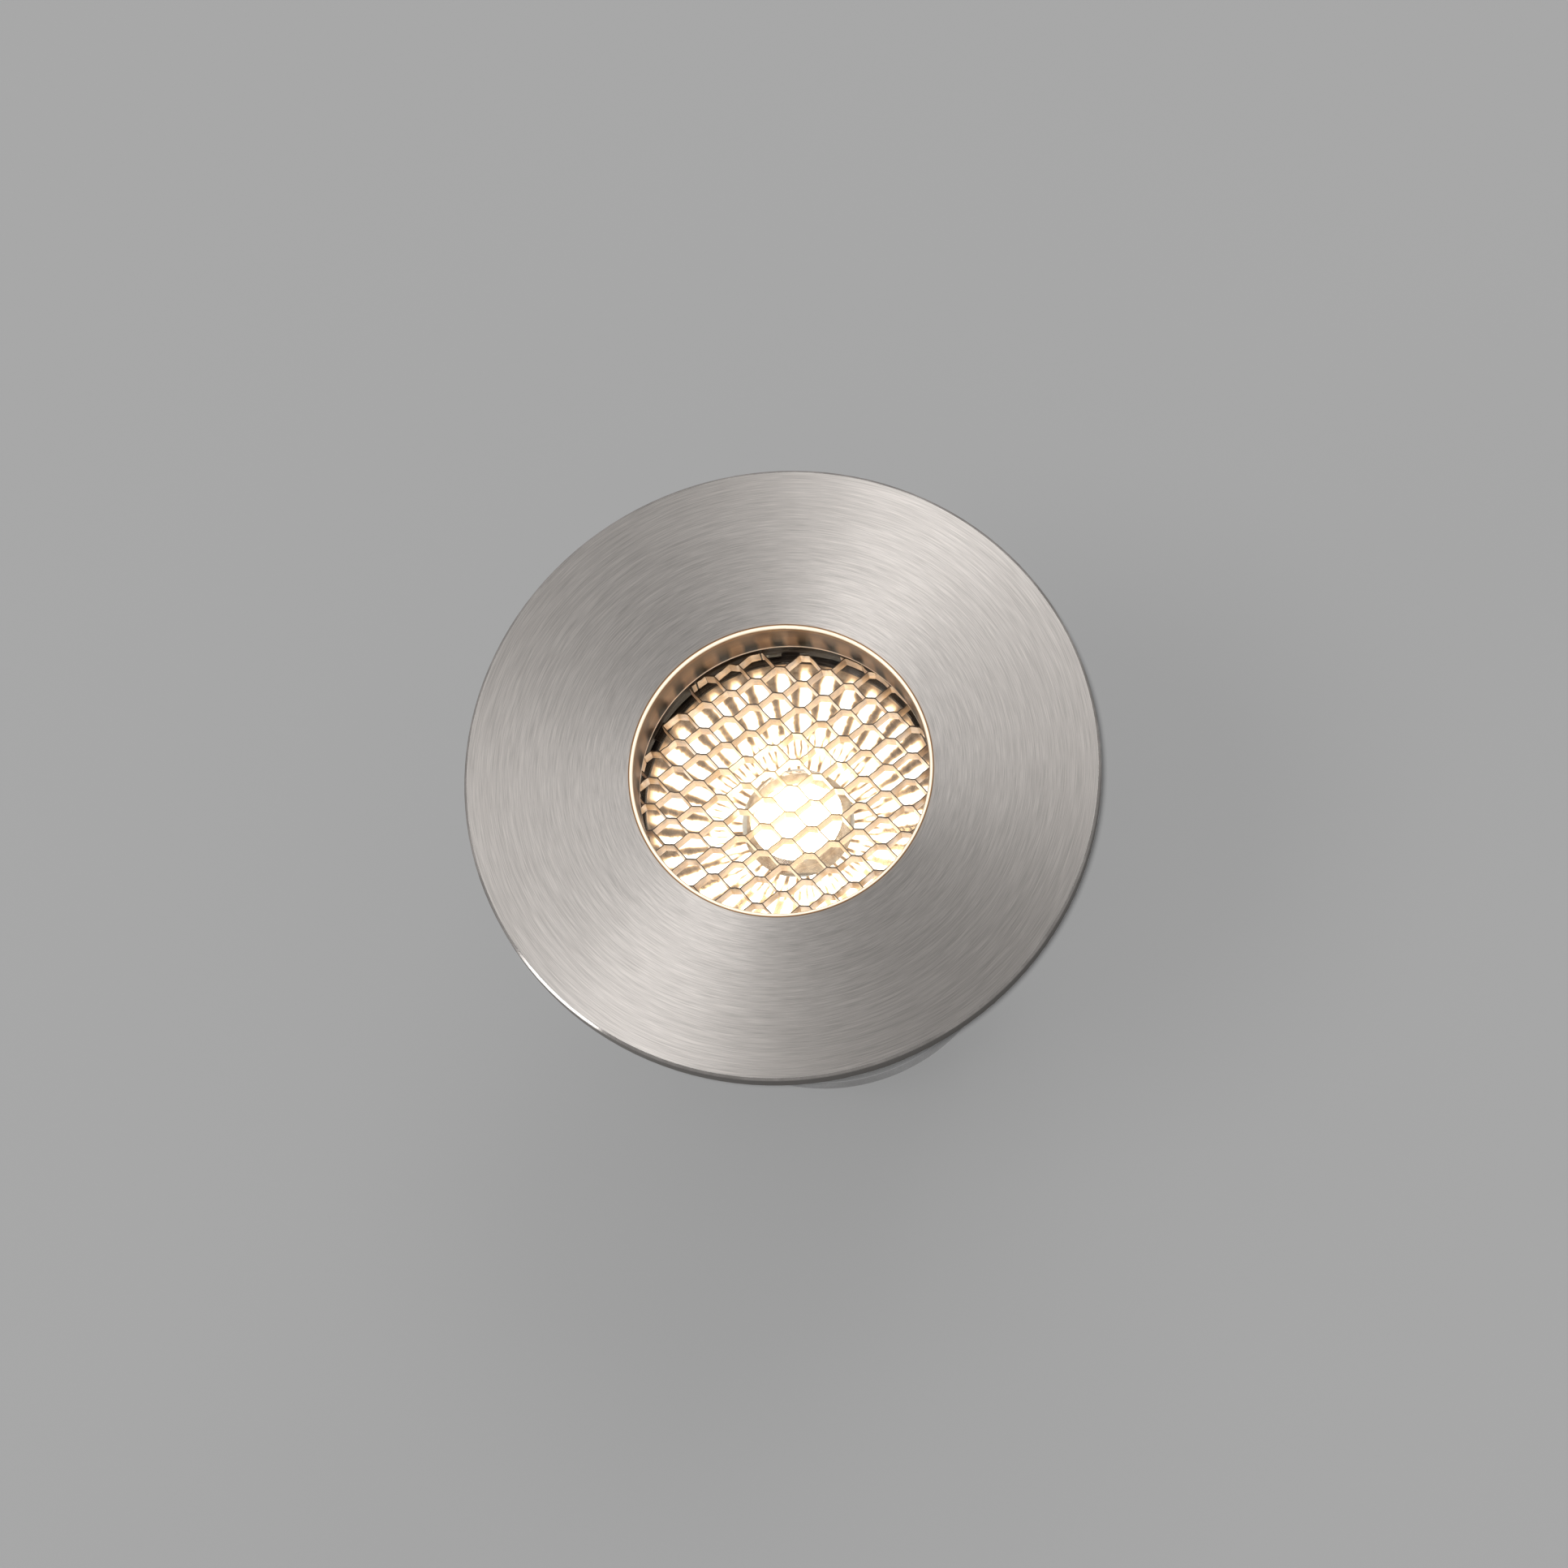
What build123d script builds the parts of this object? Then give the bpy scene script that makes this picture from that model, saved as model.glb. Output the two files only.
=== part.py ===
from build123d import *
from math import acos, atan2, cos, hypot, pi, radians, sin, sqrt
import os

# A recessed light for a floor, wall or ceiling panel, seen from its lit side.
# The origin is the middle of the trim's seat on the panel, and +Z is the way the light shines.

# Clearances that several pieces share
slip = 0.05
side_gap = 0.2
air_gap = 0.3
overrun = 2.0

# Front ring, turned from stainless steel
trim_reach = 9.0
trim_t = 2.5
trim_edge = 0.3
lip_r = 0.5
bore_depth = 7.0
spigot_wall = 7.8
spigot_edge = 0.6
undercut_w = 1.2
undercut_t = 0.4

# Flat gasket in the groove under the trim
seat_gasket_w = 3.0
seat_gasket_t = 1.0
seat_gasket_inset = 2.0

# Cover glass with a gasket on each face
glass_t = 3.0
glass_bearing = 4.4
glass_arris = 0.3
gasket_t = 0.8
gasket_w = 3.6
nose_h = 0.9

# Honeycomb louvre of thin foil, punched from the sheet with no regard to its cells
cell_pitch = 3.5
cell_wall = 0.2
louvre_h = 2.5
louvre_recess = 0.3
cell_shift_x = 0.88
cell_shift_y = 2.85
cell_turn_angle = -5.8

# Collimator, a clear optic whose flaring wall is cut in flat facets
lens_d = 39.0
lens_h = 15.0
lens_rim_t = 1.5
lens_lip = 1.2
lens_foot_d = 14.6
lens_facets = 36
lens_levels = 10
cavity_d = 12.0
cavity_depth = 5.0
cavity_crown = 1.6

# Optic holder, moulded in black plastic
holder_wall = 0.7
holder_skirt_t = 1.5
tab_t = 0.3
tab_w = 2.4
tab_reach = 1.2
tab_count = 6
holder_window_w = 11.0
holder_window_h = 7.0
holder_window_count = 4

# LED: phosphor disc on a ceramic base, on a metal-core board over a thermal pad
emitter_d = 9.8
emitter_t = 0.5
led_base_w = 13.4
led_base_t = 1.0
led_base_corner = 0.4
led_gap = 0.2
board_t = 1.6
board_screw_inset = 4.8
board_screw_bite = 3.6
pad_t = 0.5
pad_inset = 0.6

# Screws: shank and head sizes of the two kinds
m3_d = 2.9
m3_head_d = 5.2
m3_head_h = 2.4
m3_hex = 2.5
m3_hex_depth = 1.4
m3_head_edge = 0.3
m3_bite = 6.0
m3_clear_d = 3.4
m2_d = 2.1
m2_head_d = 3.8
m2_head_h = 1.1
m2_hex = 1.5
m2_hex_depth = 0.7
m2_head_edge = 0.2
m2_bite = 2.6

# Housing, cast in aluminium: finned round the LED chamber, plain round the driver
flange_t = 4.0
flange_edge = 0.8
nose_wall = 2.4
barrel_wall = 3.6
barrel_fillet = 1.5
pad_proud = 0.3
floor_t = 5.0
driver_wall = 4.2
driver_depth = 24.0
fin_reach = 5.8
fin_l = 25.6
fin_t = 1.6
fin_edge = 0.3
fin_taper = 2.4
fin_step_angle = 15.0
fins_per_side = 10
band_h = 2.0
band_t = 0.8
boss_d = 7.0
boss_h = 9.0
boss_set = 2.4
boss_angle = 30.0
seal_wire_d = 1.3
seal_groove_w = 1.7
seal_groove_depth = 1.35

# Leads between driver and LED board, and their grommet
lead_d = 1.2
lead_inset = 6.3
lead_spacing = 3.0
solder_d = 2.4
solder_h = 0.6
grommet_d = 6.4
grommet_flange_d = 8.4
grommet_flange_t = 0.4
lead_hole_d = 5.6

# Driver in its insulating tray. Its parts take their plan sizes and places as shares of the board.
tray_t = 1.2
tray_post_d = 3.6
tray_post_h = 3.0
tray_post_share = 0.4
driver_board_t = 1.6
inductor_d_share = 0.3
inductor_x_share = -0.232
inductor_y_share = -0.137
inductor_h = 9.0
inductor_neck = 1.4
inductor_cheek = 1.6
capacitor_d_share = 0.22
capacitor_x_share = 0.232
capacitor_y_share = -0.164
capacitor_gap = 2.8
filter_l_share = 0.3
filter_w_share = 0.137
filter_y_share = -0.369
filter_h = 9.0
chip_l_share = 0.164
chip_w_share = 0.137
chip_y_share = 0.027
chip_h = 1.7
block_l_share = 0.41
block_w_share = 0.208
block_y_share = 0.26
block_h = 9.0
block_poles = 3
block_port_share = 0.64
block_screw_share = 0.52
block_port_depth = 5.0
small_edge = 0.4

# Rear cap
cap_t = 4.0
cap_edge = 0.6
plug_h = 4.0
plug_wall = 3.4
plug_groove_depth = 1.2
plug_groove_w = 1.6

# Cable gland for a round cable
cable_d = 7.2
gland_thread_d = 15.8
gland_hex = 19.0
gland_hex_h = 5.0
gland_wall = 1.6
gland_seal_t = 1.0
gland_nose_h = 8.0
gland_bore_d = 11.2
gland_edge = 0.7
locknut_h = 3.4
nut_hex_h = 8.0
nut_end_t = 2.4
nut_mouth_d = 9.6
nut_gap = 0.5
thrust_t = 1.0
seal_h = 8.0
seal_proud = 0.2

# Spring clips, one on each side. The arm is as long as it needs to be to reach up to the trim.
bracket_drop = 2.0
spring_gap = 0.15
rest_angle = 21.0
pad_tip_gap = 0.4
arm_w = 10.0
arm_play = 0.5
bracket_t = 1.0
bracket_w = arm_w + 2 * (arm_play + bracket_t)
bracket_above = 8.0
bracket_below = 10.0
ear_d = 4.4
pin_d = 2.0
pin_head_d = 3.4
pin_head_t = 0.6
arm_t = 1.0
arm_outset = 0.2
arm_start = 3.2
arm_ear_l = 7.0
arm_ear_drop = 1.9
arm_slot_w = 4.0
arm_slot_l = 6.0
clip_pad_l = 6.0
clip_pad_t = 3.0
clip_pad_side = 1.0
clip_pad_edge = 0.6
clip_pad_ribs = 4
clip_pad_rib_d = 0.5
wire_d = 0.7
coil_d = 4.0
coil_turns = 4
coil_pitch = 1.2
spring_reach = 9.0
spring_foot = 5.0

# Levels along Z, from the lit face down
z_face = trim_t
z_shoulder = z_face - bore_depth
z_glass_top = z_shoulder - gasket_t
z_glass_bottom = z_glass_top - glass_t
z_nose = z_glass_bottom - gasket_t
z_joint = z_nose - nose_h
z_holder_top = z_glass_bottom - air_gap
z_louvre_top = z_holder_top - louvre_recess
z_louvre_bottom = z_louvre_top - louvre_h
z_lens_top = z_louvre_bottom - tab_t
z_ledge = z_lens_top - lens_rim_t
z_lens_bottom = z_lens_top - lens_h
z_led = z_lens_bottom - led_gap
z_board_top = z_led - led_base_t
z_board_bottom = z_board_top - board_t
z_floor = z_board_bottom - pad_t
z_roof = z_floor - floor_t
z_base = z_roof - driver_depth
z_flange = z_joint - flange_t
z_cap = z_base - cap_t
z_plug = z_base + plug_h
z_tray = z_roof - tray_t
z_driver_top = z_tray - tray_post_h
z_driver_bottom = z_driver_top - driver_board_t
capacitor_h = z_driver_bottom - z_base - locknut_h - capacitor_gap

# Diameters, from the lens outwards to the trim
louvre_d = lens_d
lens_flare_d = lens_d - 2 * lens_lip
holder_bore_d = lens_d + 2 * side_gap
holder_d = holder_bore_d + 2 * holder_wall
chamber_d = holder_d + 2 * side_gap
board_d = chamber_d - 2 * air_gap
nose_d = chamber_d + 2 * nose_wall
glass_d = nose_d
bore_d = glass_d - 2 * glass_bearing
glass_seat_d = glass_d + 2 * side_gap
spigot_d = glass_seat_d + 2 * spigot_wall
trim_d = spigot_d + 2 * trim_reach
ring_screw_r = (glass_seat_d + spigot_d) / 4

# Diameters of the body behind, and places on the two boards
barrel_d = chamber_d + 2 * barrel_wall
fin_d = barrel_d + 2 * fin_reach
cap_d = barrel_d + 2 * band_t
driver_d = barrel_d - 2 * driver_wall
boss_r = driver_d / 2 + boss_set
plug_d = driver_d - 2 * side_gap
tray_d = driver_d - 2 * side_gap
driver_board_d = tray_d - 2 * tray_t - 2 * air_gap
tray_post_r = tray_post_share * driver_board_d
board_screw_r = board_d / 2 - board_screw_inset
lead_r = board_d / 2 - lead_inset
lead_pad_r = led_base_w / 2 + solder_d / 2 + 3 * air_gap
lead_bend_r = (lead_r - lead_pad_r) / 2

os.makedirs("parts", exist_ok=True)


def keep(piece, name):
    """Label a finished piece and write it to its own file."""
    piece.label = name
    export_step(piece, f"parts/{name}.step")


def flat_ring(outer_d, inner_d, low, high):
    """A flat washer, gasket or pad between two heights."""
    with BuildPart() as ring:
        with BuildSketch(Plane.XY.offset(low)):
            Circle(outer_d / 2)
            Circle(inner_d / 2, mode=Mode.SUBTRACT)
        extrude(amount=high - low)
    return ring.part


def seal_ring(centre_r, wire, z):
    """A round-section seal whose wire runs at centre_r and height z."""
    with BuildPart() as seal:
        with BuildSketch(Plane.XZ):
            with Locations((centre_r, z)):
                Circle(wire / 2)
        revolve(axis=Axis.Z)
    return seal.part


def socket_screws(places, length, shank_d, head_d, head_h, hexagon, depth, edge):
    """Socket-head screws on the given planes, heads standing up and shanks going down."""
    with BuildPart() as screws:
        with BuildSketch(*places):
            Circle(shank_d / 2)
        extrude(amount=-length)
        with BuildSketch(*places):
            Circle(head_d / 2)
        extrude(amount=head_h)
        tops = [place.offset(head_h) for place in places]
        rims = screws.edges().filter_by(
            lambda rim: rim.geom_type == GeomType.CIRCLE
            and any(abs(top.to_local_coords(rim.arc_center).Z) < slip
                    and abs(top.to_local_coords(rim.arc_center).X) < slip
                    and abs(top.to_local_coords(rim.arc_center).Y) < slip for top in tops)
        )
        fillet(rims, radius=edge)
        with BuildSketch(*tops):
            RegularPolygon(hexagon / 2, 6, major_radius=False)
        extrude(amount=-depth, mode=Mode.SUBTRACT)
    return screws.part


def polar_planes(z, radius, angles, up=True):
    """Planes at one height round the axis, facing up or down."""
    return [
        Plane((radius * cos(radians(a)), radius * sin(radians(a)), z), z_dir=(0, 0, 1 if up else -1))
        for a in angles
    ]


def clip_screw_planes(x):
    """Planes on the clip pads at a distance x from the axis, facing out, two screws on each side."""
    return [
        Plane((way * x, 0, z), x_dir=(0, 1, 0), z_dir=(way, 0, 0)) for way in (1, -1) for z in z_clip_screws
    ]


# Front ring: trim, window lip, bore wall, glass seat and spigot in one profile
with BuildPart() as front_ring:
    with BuildSketch(Plane.XZ):
        with BuildLine():
            Polyline(
                (bore_d / 2, z_face),
                (trim_d / 2, z_face),
                (trim_d / 2, 0),
                (spigot_d / 2 + undercut_w, 0),
                (spigot_d / 2 + undercut_w, undercut_t),
                (spigot_d / 2, undercut_t),
                (spigot_d / 2, z_joint),
                (glass_seat_d / 2, z_joint),
                (glass_seat_d / 2, z_shoulder),
                (bore_d / 2, z_shoulder),
                close=True,
            )
        make_face()
    revolve(axis=Axis.Z)
    top_edges = front_ring.edges().filter_by(GeomType.CIRCLE).group_by(Axis.Z)[-1]
    fillet(top_edges.sort_by(SortBy.RADIUS)[0], radius=lip_r)
    rim_edges = front_ring.edges().filter_by(GeomType.CIRCLE).group_by(Axis.Z)[-1]
    chamfer(rim_edges.sort_by(SortBy.RADIUS)[-1], length=trim_edge)
    foot_edges = front_ring.edges().filter_by(GeomType.CIRCLE).group_by(Axis.Z)[0]
    chamfer(foot_edges.sort_by(SortBy.RADIUS)[-1], length=spigot_edge)
    with BuildSketch(Plane.XY):
        Circle(trim_d / 2 - seat_gasket_inset)
        Circle(trim_d / 2 - seat_gasket_inset - seat_gasket_w, mode=Mode.SUBTRACT)
    extrude(amount=seat_gasket_t, mode=Mode.SUBTRACT)
    with BuildSketch(Plane.XY.offset(z_joint)):
        with PolarLocations(ring_screw_r, 4, start_angle=45):
            Circle(m3_d / 2 + slip)
    extrude(amount=m3_bite + slip, mode=Mode.SUBTRACT)
keep(front_ring.part, "front_ring")

# Gaskets of the seat and of the glass
seat_gasket = flat_ring(
    trim_d - 2 * (seat_gasket_inset + slip),
    trim_d - 2 * (seat_gasket_inset + seat_gasket_w - slip),
    0,
    seat_gasket_t,
)
keep(seat_gasket, "seat_gasket")
glass_gasket = flat_ring(glass_d, glass_d - 2 * gasket_w, z_glass_top, z_shoulder)
keep(glass_gasket, "glass_gasket")
clamp_gasket = flat_ring(nose_d, chamber_d + 2 * side_gap, z_nose, z_glass_bottom)
keep(clamp_gasket, "clamp_gasket")

# Cover glass with ground arrises
with BuildPart() as cover_glass:
    with BuildSketch(Plane.XY.offset(z_glass_bottom)):
        Circle(glass_d / 2)
    extrude(amount=glass_t)
    chamfer(cover_glass.edges().filter_by(GeomType.CIRCLE), length=glass_arris)
keep(cover_glass.part, "cover_glass")

# Louvre: a disc cut from a sheet of foil honeycomb, so its rim cells are open
cell_column = cell_pitch * sqrt(3) / 2
cell_rows = 2 * round(louvre_d / cell_pitch / 2) + 3
cell_columns = 2 * round(louvre_d / cell_column / 4) + 3
with BuildPart() as louvre:
    with BuildSketch(Plane.XY.offset(z_louvre_bottom)) as comb:
        Circle(louvre_d / 2)
        with Locations(Location((0, 0, 0), (0, 0, cell_turn_angle))):
            with Locations(
                (cell_shift_x, cell_shift_y), (cell_shift_x + cell_column, cell_shift_y - cell_pitch / 2)
            ):
                with GridLocations(2 * cell_column, cell_pitch, cell_columns, cell_rows):
                    RegularPolygon((cell_pitch - cell_wall) / 2, 6, major_radius=False, mode=Mode.SUBTRACT)
    extrude(comb.sketch.faces().sort_by(SortBy.AREA)[-1], amount=louvre_h)
keep(louvre.part, "louvre")


def flare_r(share):
    """Radius of the collimator's paraboloid wall at a share of its height."""
    foot = lens_foot_d / 2
    top = lens_flare_d / 2
    return sqrt(foot**2 + (top**2 - foot**2) * share)


# Collimator: faceted paraboloid wall, round rim and a cavity with a crowned roof for the LED
with BuildPart() as collimator:
    for level in range(lens_levels + 1):
        share = level / lens_levels
        with BuildSketch(Plane.XY.offset(z_lens_bottom + share * (z_ledge - z_lens_bottom))):
            RegularPolygon(flare_r(share), lens_facets)
    loft(ruled=True)
    with BuildSketch(Plane.XY.offset(z_ledge)):
        Circle(lens_d / 2)
    extrude(amount=lens_rim_t)
    with BuildSketch(Plane.XZ):
        with BuildLine():
            roof_z = z_lens_bottom + cavity_depth
            wall = Polyline(
                (0, roof_z - cavity_crown),
                (0, z_lens_bottom - overrun),
                (cavity_d / 2, z_lens_bottom - overrun),
                (cavity_d / 2, roof_z),
            )
            crown_r = ((cavity_d / 2) ** 2 + cavity_crown**2) / (2 * cavity_crown)
            RadiusArc(wall @ 1, wall @ 0, crown_r)
        make_face()
    revolve(axis=Axis.Z, mode=Mode.SUBTRACT)
keep(collimator.part, "collimator")

# Optic holder: rim round louvre and lens, tabs between them, ledge and a skirt down to the board
with BuildPart() as optic_holder:
    with BuildSketch(Plane.XZ):
        with BuildLine():
            Polyline(
                (holder_bore_d / 2, z_holder_top),
                (holder_d / 2, z_holder_top),
                (holder_d / 2, z_board_top),
                (holder_d / 2 - holder_skirt_t, z_board_top),
                (holder_d / 2 - holder_skirt_t, z_ledge),
                (holder_bore_d / 2, z_ledge),
                close=True,
            )
        make_face()
    revolve(axis=Axis.Z)
    with BuildSketch(Plane.XY.offset(z_lens_top)):
        with PolarLocations(holder_bore_d / 2, tab_count, start_angle=30):
            Rectangle(2 * tab_reach, tab_w)
        Circle(holder_d / 2 - side_gap, mode=Mode.INTERSECT)
    extrude(amount=tab_t)
    z_window = (z_ledge + z_board_top) / 2
    window_angles = [2 * pi * (turn + 0.5) / holder_window_count for turn in range(holder_window_count)]
    with BuildSketch(*[
        Plane((0, 0, z_window), x_dir=(-sin(a), cos(a), 0), z_dir=(cos(a), sin(a), 0))
        for a in window_angles
    ]):
        RectangleRounded(holder_window_w, holder_window_h, small_edge)
    extrude(amount=holder_d, mode=Mode.SUBTRACT)
keep(optic_holder.part, "optic_holder")

# LED: ceramic base and phosphor disc
with BuildPart() as led_base:
    with BuildSketch(Plane.XY.offset(z_board_top)):
        RectangleRounded(led_base_w, led_base_w, led_base_corner)
    extrude(amount=led_base_t)
keep(led_base.part, "led_base")
with BuildPart() as led_emitter:
    with BuildSketch(Plane.XY.offset(z_led)):
        Circle(emitter_d / 2)
    extrude(amount=emitter_t)
keep(led_emitter.part, "led_emitter")

# LED board and thermal pad: screw holes on the X axis and a hole where the leads pass
with BuildPart() as led_board:
    with BuildSketch(Plane.XY.offset(z_board_bottom)):
        Circle(board_d / 2)
        with Locations((0, lead_r)):
            Circle(lead_hole_d / 2, mode=Mode.SUBTRACT)
        with Locations((board_screw_r, 0), (-board_screw_r, 0)):
            Circle(m3_clear_d / 2, mode=Mode.SUBTRACT)
    extrude(amount=board_t)
keep(led_board.part, "led_board")
with BuildPart() as thermal_pad:
    with BuildSketch(Plane.XY.offset(z_floor)):
        Circle(board_d / 2 - pad_inset)
        with Locations((0, lead_r)):
            Circle(grommet_flange_d / 2 + side_gap, mode=Mode.SUBTRACT)
        with Locations((board_screw_r, 0), (-board_screw_r, 0)):
            Circle(m3_clear_d / 2, mode=Mode.SUBTRACT)
    extrude(amount=pad_t)
keep(thermal_pad.part, "thermal_pad")

# Housing: nose, flange, barrel and fins, with the LED chamber above its floor and the driver below
barrel_r = barrel_d / 2
pad_x = barrel_r + pad_proud
pivot_x = pad_x + bracket_t + spring_gap + wire_d / 2 + coil_d / 2
z_clip_top = z_flange - bracket_drop
z_pivot = z_clip_top - bracket_above
z_clip_low = z_pivot - bracket_below
z_clip_screws = ((z_clip_top + z_pivot + ear_d / 2) / 2, (z_clip_low + z_pivot - ear_d / 2) / 2)
z_fin_end = z_flange - fin_l
pad_root = sqrt(barrel_r**2 - (bracket_w / 2) ** 2) - bracket_t
seal_r = (nose_d / 2 + ring_screw_r - m3_clear_d / 2) / 2
cap_screw_angles = [boss_angle, 180 - boss_angle, 180 + boss_angle, 360 - boss_angle]
ring_screw_angles = [45, 135, 225, 315]
with BuildPart() as housing:
    with BuildSketch(Plane.XZ):
        with BuildLine():
            Polyline(
                (0, z_nose),
                (nose_d / 2, z_nose),
                (nose_d / 2, z_joint),
                (spigot_d / 2, z_joint),
                (spigot_d / 2, z_flange),
                (barrel_r, z_flange),
                (barrel_r, z_base),
                (0, z_base),
                close=True,
            )
        make_face()
    revolve(axis=Axis.Z)
    flange_rims = housing.edges().filter_by(GeomType.CIRCLE).group_by(Axis.Z)[-3]
    chamfer(flange_rims.sort_by(SortBy.RADIUS)[-1], length=flange_edge)
    fillet(flange_rims.sort_by(SortBy.RADIUS)[0], radius=barrel_fillet)

    # Fins run down both long sides, leave the two clip channels free and slope in at their feet
    with BuildSketch(Plane.XY.offset(z_fin_end)):
        for side in (0, 180):
            with PolarLocations(
                (barrel_r - fin_t + fin_d / 2) / 2,
                fins_per_side,
                start_angle=side + 90 - fin_step_angle * (fins_per_side - 1) / 2,
                angular_range=fin_step_angle * (fins_per_side - 1),
                endpoint=True,
            ):
                RectangleRounded(fin_d / 2 - barrel_r + fin_t, fin_t, fin_edge)
    extrude(amount=z_flange - z_fin_end)
    with BuildSketch(Plane.XZ):
        with BuildLine():
            Polyline(
                (fin_d / 2 - fin_taper, z_fin_end),
                (fin_d / 2 + overrun, z_fin_end),
                (fin_d / 2 + overrun, z_fin_end + fin_taper + overrun),
                close=True,
            )
        make_face()
    revolve(axis=Axis.Z, mode=Mode.SUBTRACT)

    # Thickened rim at the base, bosses for the cap's screws, and a flat pad for each clip bracket
    with BuildSketch(Plane.XY.offset(z_base)):
        Circle(cap_d / 2)
    extrude(amount=band_h)
    with BuildSketch(*polar_planes(z_base, boss_r, cap_screw_angles)):
        Circle(boss_d / 2)
    extrude(amount=boss_h)
    with BuildSketch(Plane.XY.offset(z_clip_low)):
        with Locations(((pad_root + pad_x) / 2, 0), (-(pad_root + pad_x) / 2, 0)):
            Rectangle(pad_x - pad_root, bracket_w)
    extrude(amount=z_clip_top - z_clip_low)

    # Chambers for the LED and the driver, the seal's groove and the hole for the leads
    with BuildSketch(Plane.XY.offset(z_floor)):
        Circle(chamber_d / 2)
    extrude(amount=z_nose - z_floor, mode=Mode.SUBTRACT)
    with BuildSketch(Plane.XY.offset(z_base)):
        Circle(driver_d / 2)
    extrude(amount=driver_depth, mode=Mode.SUBTRACT)
    with BuildSketch(Plane.XY.offset(z_joint)):
        Circle(seal_r + seal_groove_w / 2)
        Circle(seal_r - seal_groove_w / 2, mode=Mode.SUBTRACT)
    extrude(amount=-seal_groove_depth, mode=Mode.SUBTRACT)
    with BuildSketch(Plane.XY.offset(z_roof)):
        with Locations((0, lead_r)):
            Circle(grommet_d / 2)
    extrude(amount=floor_t, mode=Mode.SUBTRACT)

    # Holes for the screws of ring, cap, board and brackets
    with BuildSketch(*polar_planes(z_flange, ring_screw_r, ring_screw_angles)):
        Circle(m3_clear_d / 2)
    extrude(amount=flange_t, mode=Mode.SUBTRACT)
    with BuildSketch(*polar_planes(z_flange, ring_screw_r, ring_screw_angles, up=False)):
        Circle(m3_head_d / 2 + side_gap)
    extrude(amount=m3_head_h, mode=Mode.SUBTRACT)
    with BuildSketch(*polar_planes(z_base, boss_r, cap_screw_angles)):
        Circle(m3_d / 2 + slip)
    extrude(amount=m3_bite + slip, mode=Mode.SUBTRACT)
    with BuildSketch(Plane.XY.offset(z_floor)):
        with Locations((board_screw_r, 0), (-board_screw_r, 0)):
            Circle(m3_d / 2 + slip)
    extrude(amount=-board_screw_bite - slip, mode=Mode.SUBTRACT)
    with BuildSketch(*clip_screw_planes(pad_x)):
        Circle(m2_d / 2 + slip)
    extrude(amount=-m2_bite - slip, mode=Mode.SUBTRACT)
keep(housing.part, "housing")
keep(seal_ring(seal_r, seal_wire_d, z_joint - seal_wire_d / 2 - slip), "housing_seal")

# Socket-head screws of the ring, from behind, and of the LED board
ring_screws = socket_screws(
    polar_planes(z_flange, ring_screw_r, ring_screw_angles, up=False),
    flange_t + m3_bite,
    m3_d,
    m3_head_d,
    m3_head_h,
    m3_hex,
    m3_hex_depth,
    m3_head_edge,
)
keep(ring_screws, "ring_screws")
board_screws = socket_screws(
    polar_planes(z_board_top, board_screw_r, [0, 180]),
    board_t + pad_t + board_screw_bite,
    m3_d,
    m3_head_d,
    m3_head_h,
    m3_hex,
    m3_hex_depth,
    m3_head_edge,
)
keep(board_screws, "board_screws")

# Grommet in the floor, with a hole for each lead
lead_places = [(-lead_spacing / 2, lead_r), (lead_spacing / 2, lead_r)]
with BuildPart() as lead_grommet:
    with BuildSketch(Plane.XY.offset(z_roof - grommet_flange_t)):
        with Locations((0, lead_r)):
            Circle(grommet_flange_d / 2)
    extrude(amount=grommet_flange_t)
    with BuildSketch(Plane.XY.offset(z_roof)):
        with Locations((0, lead_r)):
            Circle(grommet_d / 2 - slip)
    extrude(amount=floor_t)
    with BuildSketch(Plane.XY.offset(z_floor)):
        with Locations((0, lead_r)):
            Circle(grommet_flange_d / 2)
    extrude(amount=grommet_flange_t)
    with BuildSketch(Plane.XY.offset(z_roof - grommet_flange_t)):
        with Locations(*lead_places):
            Circle(lead_d / 2 + slip)
    extrude(amount=floor_t + 2 * grommet_flange_t, mode=Mode.SUBTRACT)
keep(lead_grommet.part, "lead_grommet")

# Leads from the driver board through the grommet to their solder pads on the LED board
for lead_x, polarity in ((-lead_spacing / 2, "negative"), (lead_spacing / 2, "positive")):
    with BuildPart() as lead:
        with BuildLine() as route:
            FilletPolyline(
                (lead_x, lead_r, z_driver_top),
                (lead_x, lead_r, z_board_top + lead_d / 2),
                (lead_x, lead_pad_r, z_board_top + lead_d / 2),
                radius=lead_bend_r,
            )
        with BuildSketch(Plane((lead_x, lead_r, z_driver_top), z_dir=(0, 0, 1))):
            Circle(lead_d / 2)
        sweep(path=route.wires()[0])
        with BuildSketch(Plane.XY.offset(z_board_top)):
            with Locations((lead_x, lead_pad_r)):
                Circle(solder_d / 2)
        extrude(amount=solder_h)
    keep(lead.part, f"lead_{polarity}")

# Insulating tray with posts that carry the driver board
with BuildPart() as driver_tray:
    with BuildSketch(Plane.XY.offset(z_plug + air_gap)):
        Circle(tray_d / 2)
    extrude(amount=z_roof - z_plug - air_gap)
    with BuildSketch(Plane.XY.offset(z_plug + air_gap)):
        Circle(tray_d / 2 - tray_t)
    extrude(amount=z_tray - z_plug - air_gap, mode=Mode.SUBTRACT)
    with BuildSketch(*polar_planes(z_driver_top, tray_post_r, [30, 150, 270])):
        Circle(tray_post_d / 2)
    extrude(amount=tray_post_h)
    with BuildSketch(Plane.XY.offset(z_tray)):
        with Locations((0, lead_r)):
            Circle(grommet_flange_d / 2 + side_gap)
    extrude(amount=tray_t, mode=Mode.SUBTRACT)
keep(driver_tray.part, "driver_tray")
with BuildPart() as driver_board:
    with BuildSketch(Plane.XY.offset(z_driver_bottom)):
        Circle(driver_board_d / 2)
    extrude(amount=driver_board_t)
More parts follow.
